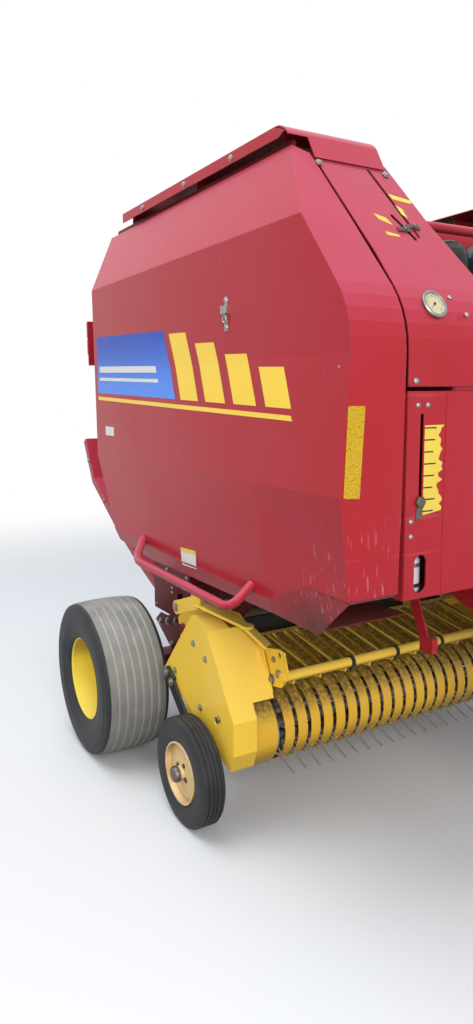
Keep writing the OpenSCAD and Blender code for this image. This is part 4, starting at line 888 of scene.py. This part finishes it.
for side, name in ((-1, "R"), (1, "L")):
    hub_place = Vector((side * gauge_x, gauge_mid.y, gauge_mid.z))
    half = gauge_wall + gauge_tread
    outline = [(r, -w * gauge_w) for r, w in half] + [(r, w * gauge_w) for r, w in reversed(half)]
    tyre = bmesh.new()
    turn(tyre, outline + outline[:1], hub_place, (1, 0, 0), 72)
    bmesh.ops.remove_doubles(tyre, verts=tyre.verts, dist=1e-5)
    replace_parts(add_piece(f"gauge_ribs_{name}", tyre, f"gauge_{name}", "tyre_rubber", wall_rubber, sharp=28),
                f"gauge_tyre_{name}")
    out = Vector((side, 0, 0))
    caps = bmesh.new()
    turn(caps, [(0.0315, -0.012), (0.034, -0.010), (0.034, 0.004), (0.029, 0.012), (0.016, 0.015), (0, 0.0155)],
         hub_place + out * cap_out, out, 32)
    for i in range(4):
        bolt(caps, round_axle(hub_place + out * disc_out, bolt_ring, math.tau * i / 4 + 0.5), out, 0.013)
    add_piece(f"hub_caps_{name}", caps, f"gauge_{name}", "bare_steel", chain_steel)


# Camera: held by hand before the machine's front right corner.
# Its lens, height and tilt follow from the machine's own straight lines in the photograph.
camera_data = bpy.data.cameras.new("photo_camera")
camera_data.lens = 26.04
camera_data.sensor_width = 36
camera_data.clip_start = 0.1
camera_data.clip_end = 60
camera = bpy.data.objects.new("photo_camera", camera_data)
bpy.context.collection.objects.link(camera)
camera.location = at(-2.326, -3.454, 1.769)
camera.rotation_euler = (math.radians(81.226), math.radians(0.560), math.radians(-30.407))
bpy.context.scene.camera = camera


# Studio: a plain pale floor with a large soft lamp overhead and a second one in front.
# The world shows white to the camera, and lights the machine as a pale blue sky would.
floor_mesh = bmesh.new()
bmesh.ops.create_grid(floor_mesh, x_segments=1, y_segments=1, size=40)
floor_data = bpy.data.meshes.new("floor")
floor_mesh.to_mesh(floor_data)
floor_mesh.free()
floor = bpy.data.objects.new("floor", floor_data)
bpy.context.collection.objects.link(floor)


def background_rays(start):
    """1 for what the camera sees, directly or in a reflection, 0 for the light that falls on the machine."""
    return (start.node("ShaderNodeLightPath", output="Is Camera Ray")
            + start.node("ShaderNodeLightPath", output="Is Glossy Ray")
            + start.node("ShaderNodeLightPath", output="Is Transmission Ray"))


floor_lit, floor_seen, white = (0.34, 0.34, 0.34, 1), (0.78, 0.78, 0.78, 1), (1, 1, 1, 1)
floor_finish, start = start_finish("pale_floor")
seen = background_rays(start)
distance = start.node("ShaderNodeVectorMath", {"operation": "LENGTH"}, {0: place_on(start)}, output=1)
ground = start.node("ShaderNodeBsdfPrincipled", None, {
    "Base Color": blend_colours(start, seen, floor_lit, floor_seen), "Roughness": 0.9, "Specular IOR Level": 0.1})
glow = start.node("ShaderNodeEmission", None, {"Color": white, "Strength": 1.0})
mixed = start.node("ShaderNodeMixShader", None, {0: fade(start, distance, 4.0, 9.0) * seen, 1: ground, 2: glow})
floor_output = floor_finish.node_tree.nodes.new("ShaderNodeOutputMaterial")
floor_finish.node_tree.links.new(mixed.socket, floor_output.inputs[0])
floor_data.materials.append(floor_finish)


def soft_lamp(name, place, aim, size, power, colour):
    """A round lamp with a wide face, turned to a place."""
    lamp_data = bpy.data.lights.new(name, "AREA")
    lamp_data.shape = "DISK"
    lamp_data.size = size
    lamp_data.energy = power
    lamp_data.color = colour
    lamp = bpy.data.objects.new(name, lamp_data)
    lamp.location = place
    lamp.rotation_euler = (Vector(aim) - Vector(place)).to_track_quat("-Z", "Y").to_euler()
    bpy.context.collection.objects.link(lamp)


soft_lamp("overhead_lamp", (-2.5, 1.0, 7.0), (0, 0.3, 1.2), size=6.0, power=300, colour=(0.93, 0.97, 1.0))
soft_lamp("front_lamp", (-3.2, -7.0, 3.6), (0, -0.3, 1.2), size=4.0, power=340, colour=(1.0, 0.98, 0.95))

world = bpy.data.worlds.new("studio")
bpy.context.scene.world = world
world.use_nodes = True
world.node_tree.nodes.clear()
start = Signal(world.node_tree)
lit = start.node("ShaderNodeBackground", None, {"Color": (0.86, 0.92, 1.0, 1), "Strength": 0.70})
shown = start.node("ShaderNodeBackground", None, {"Color": white, "Strength": 1.0})
both = start.node("ShaderNodeMixShader", None, {0: background_rays(start), 1: lit, 2: shown})
world.node_tree.links.new(both.socket, world.node_tree.nodes.new("ShaderNodeOutputWorld").inputs[0])

bpy.context.scene.view_settings.view_transform = "Standard"
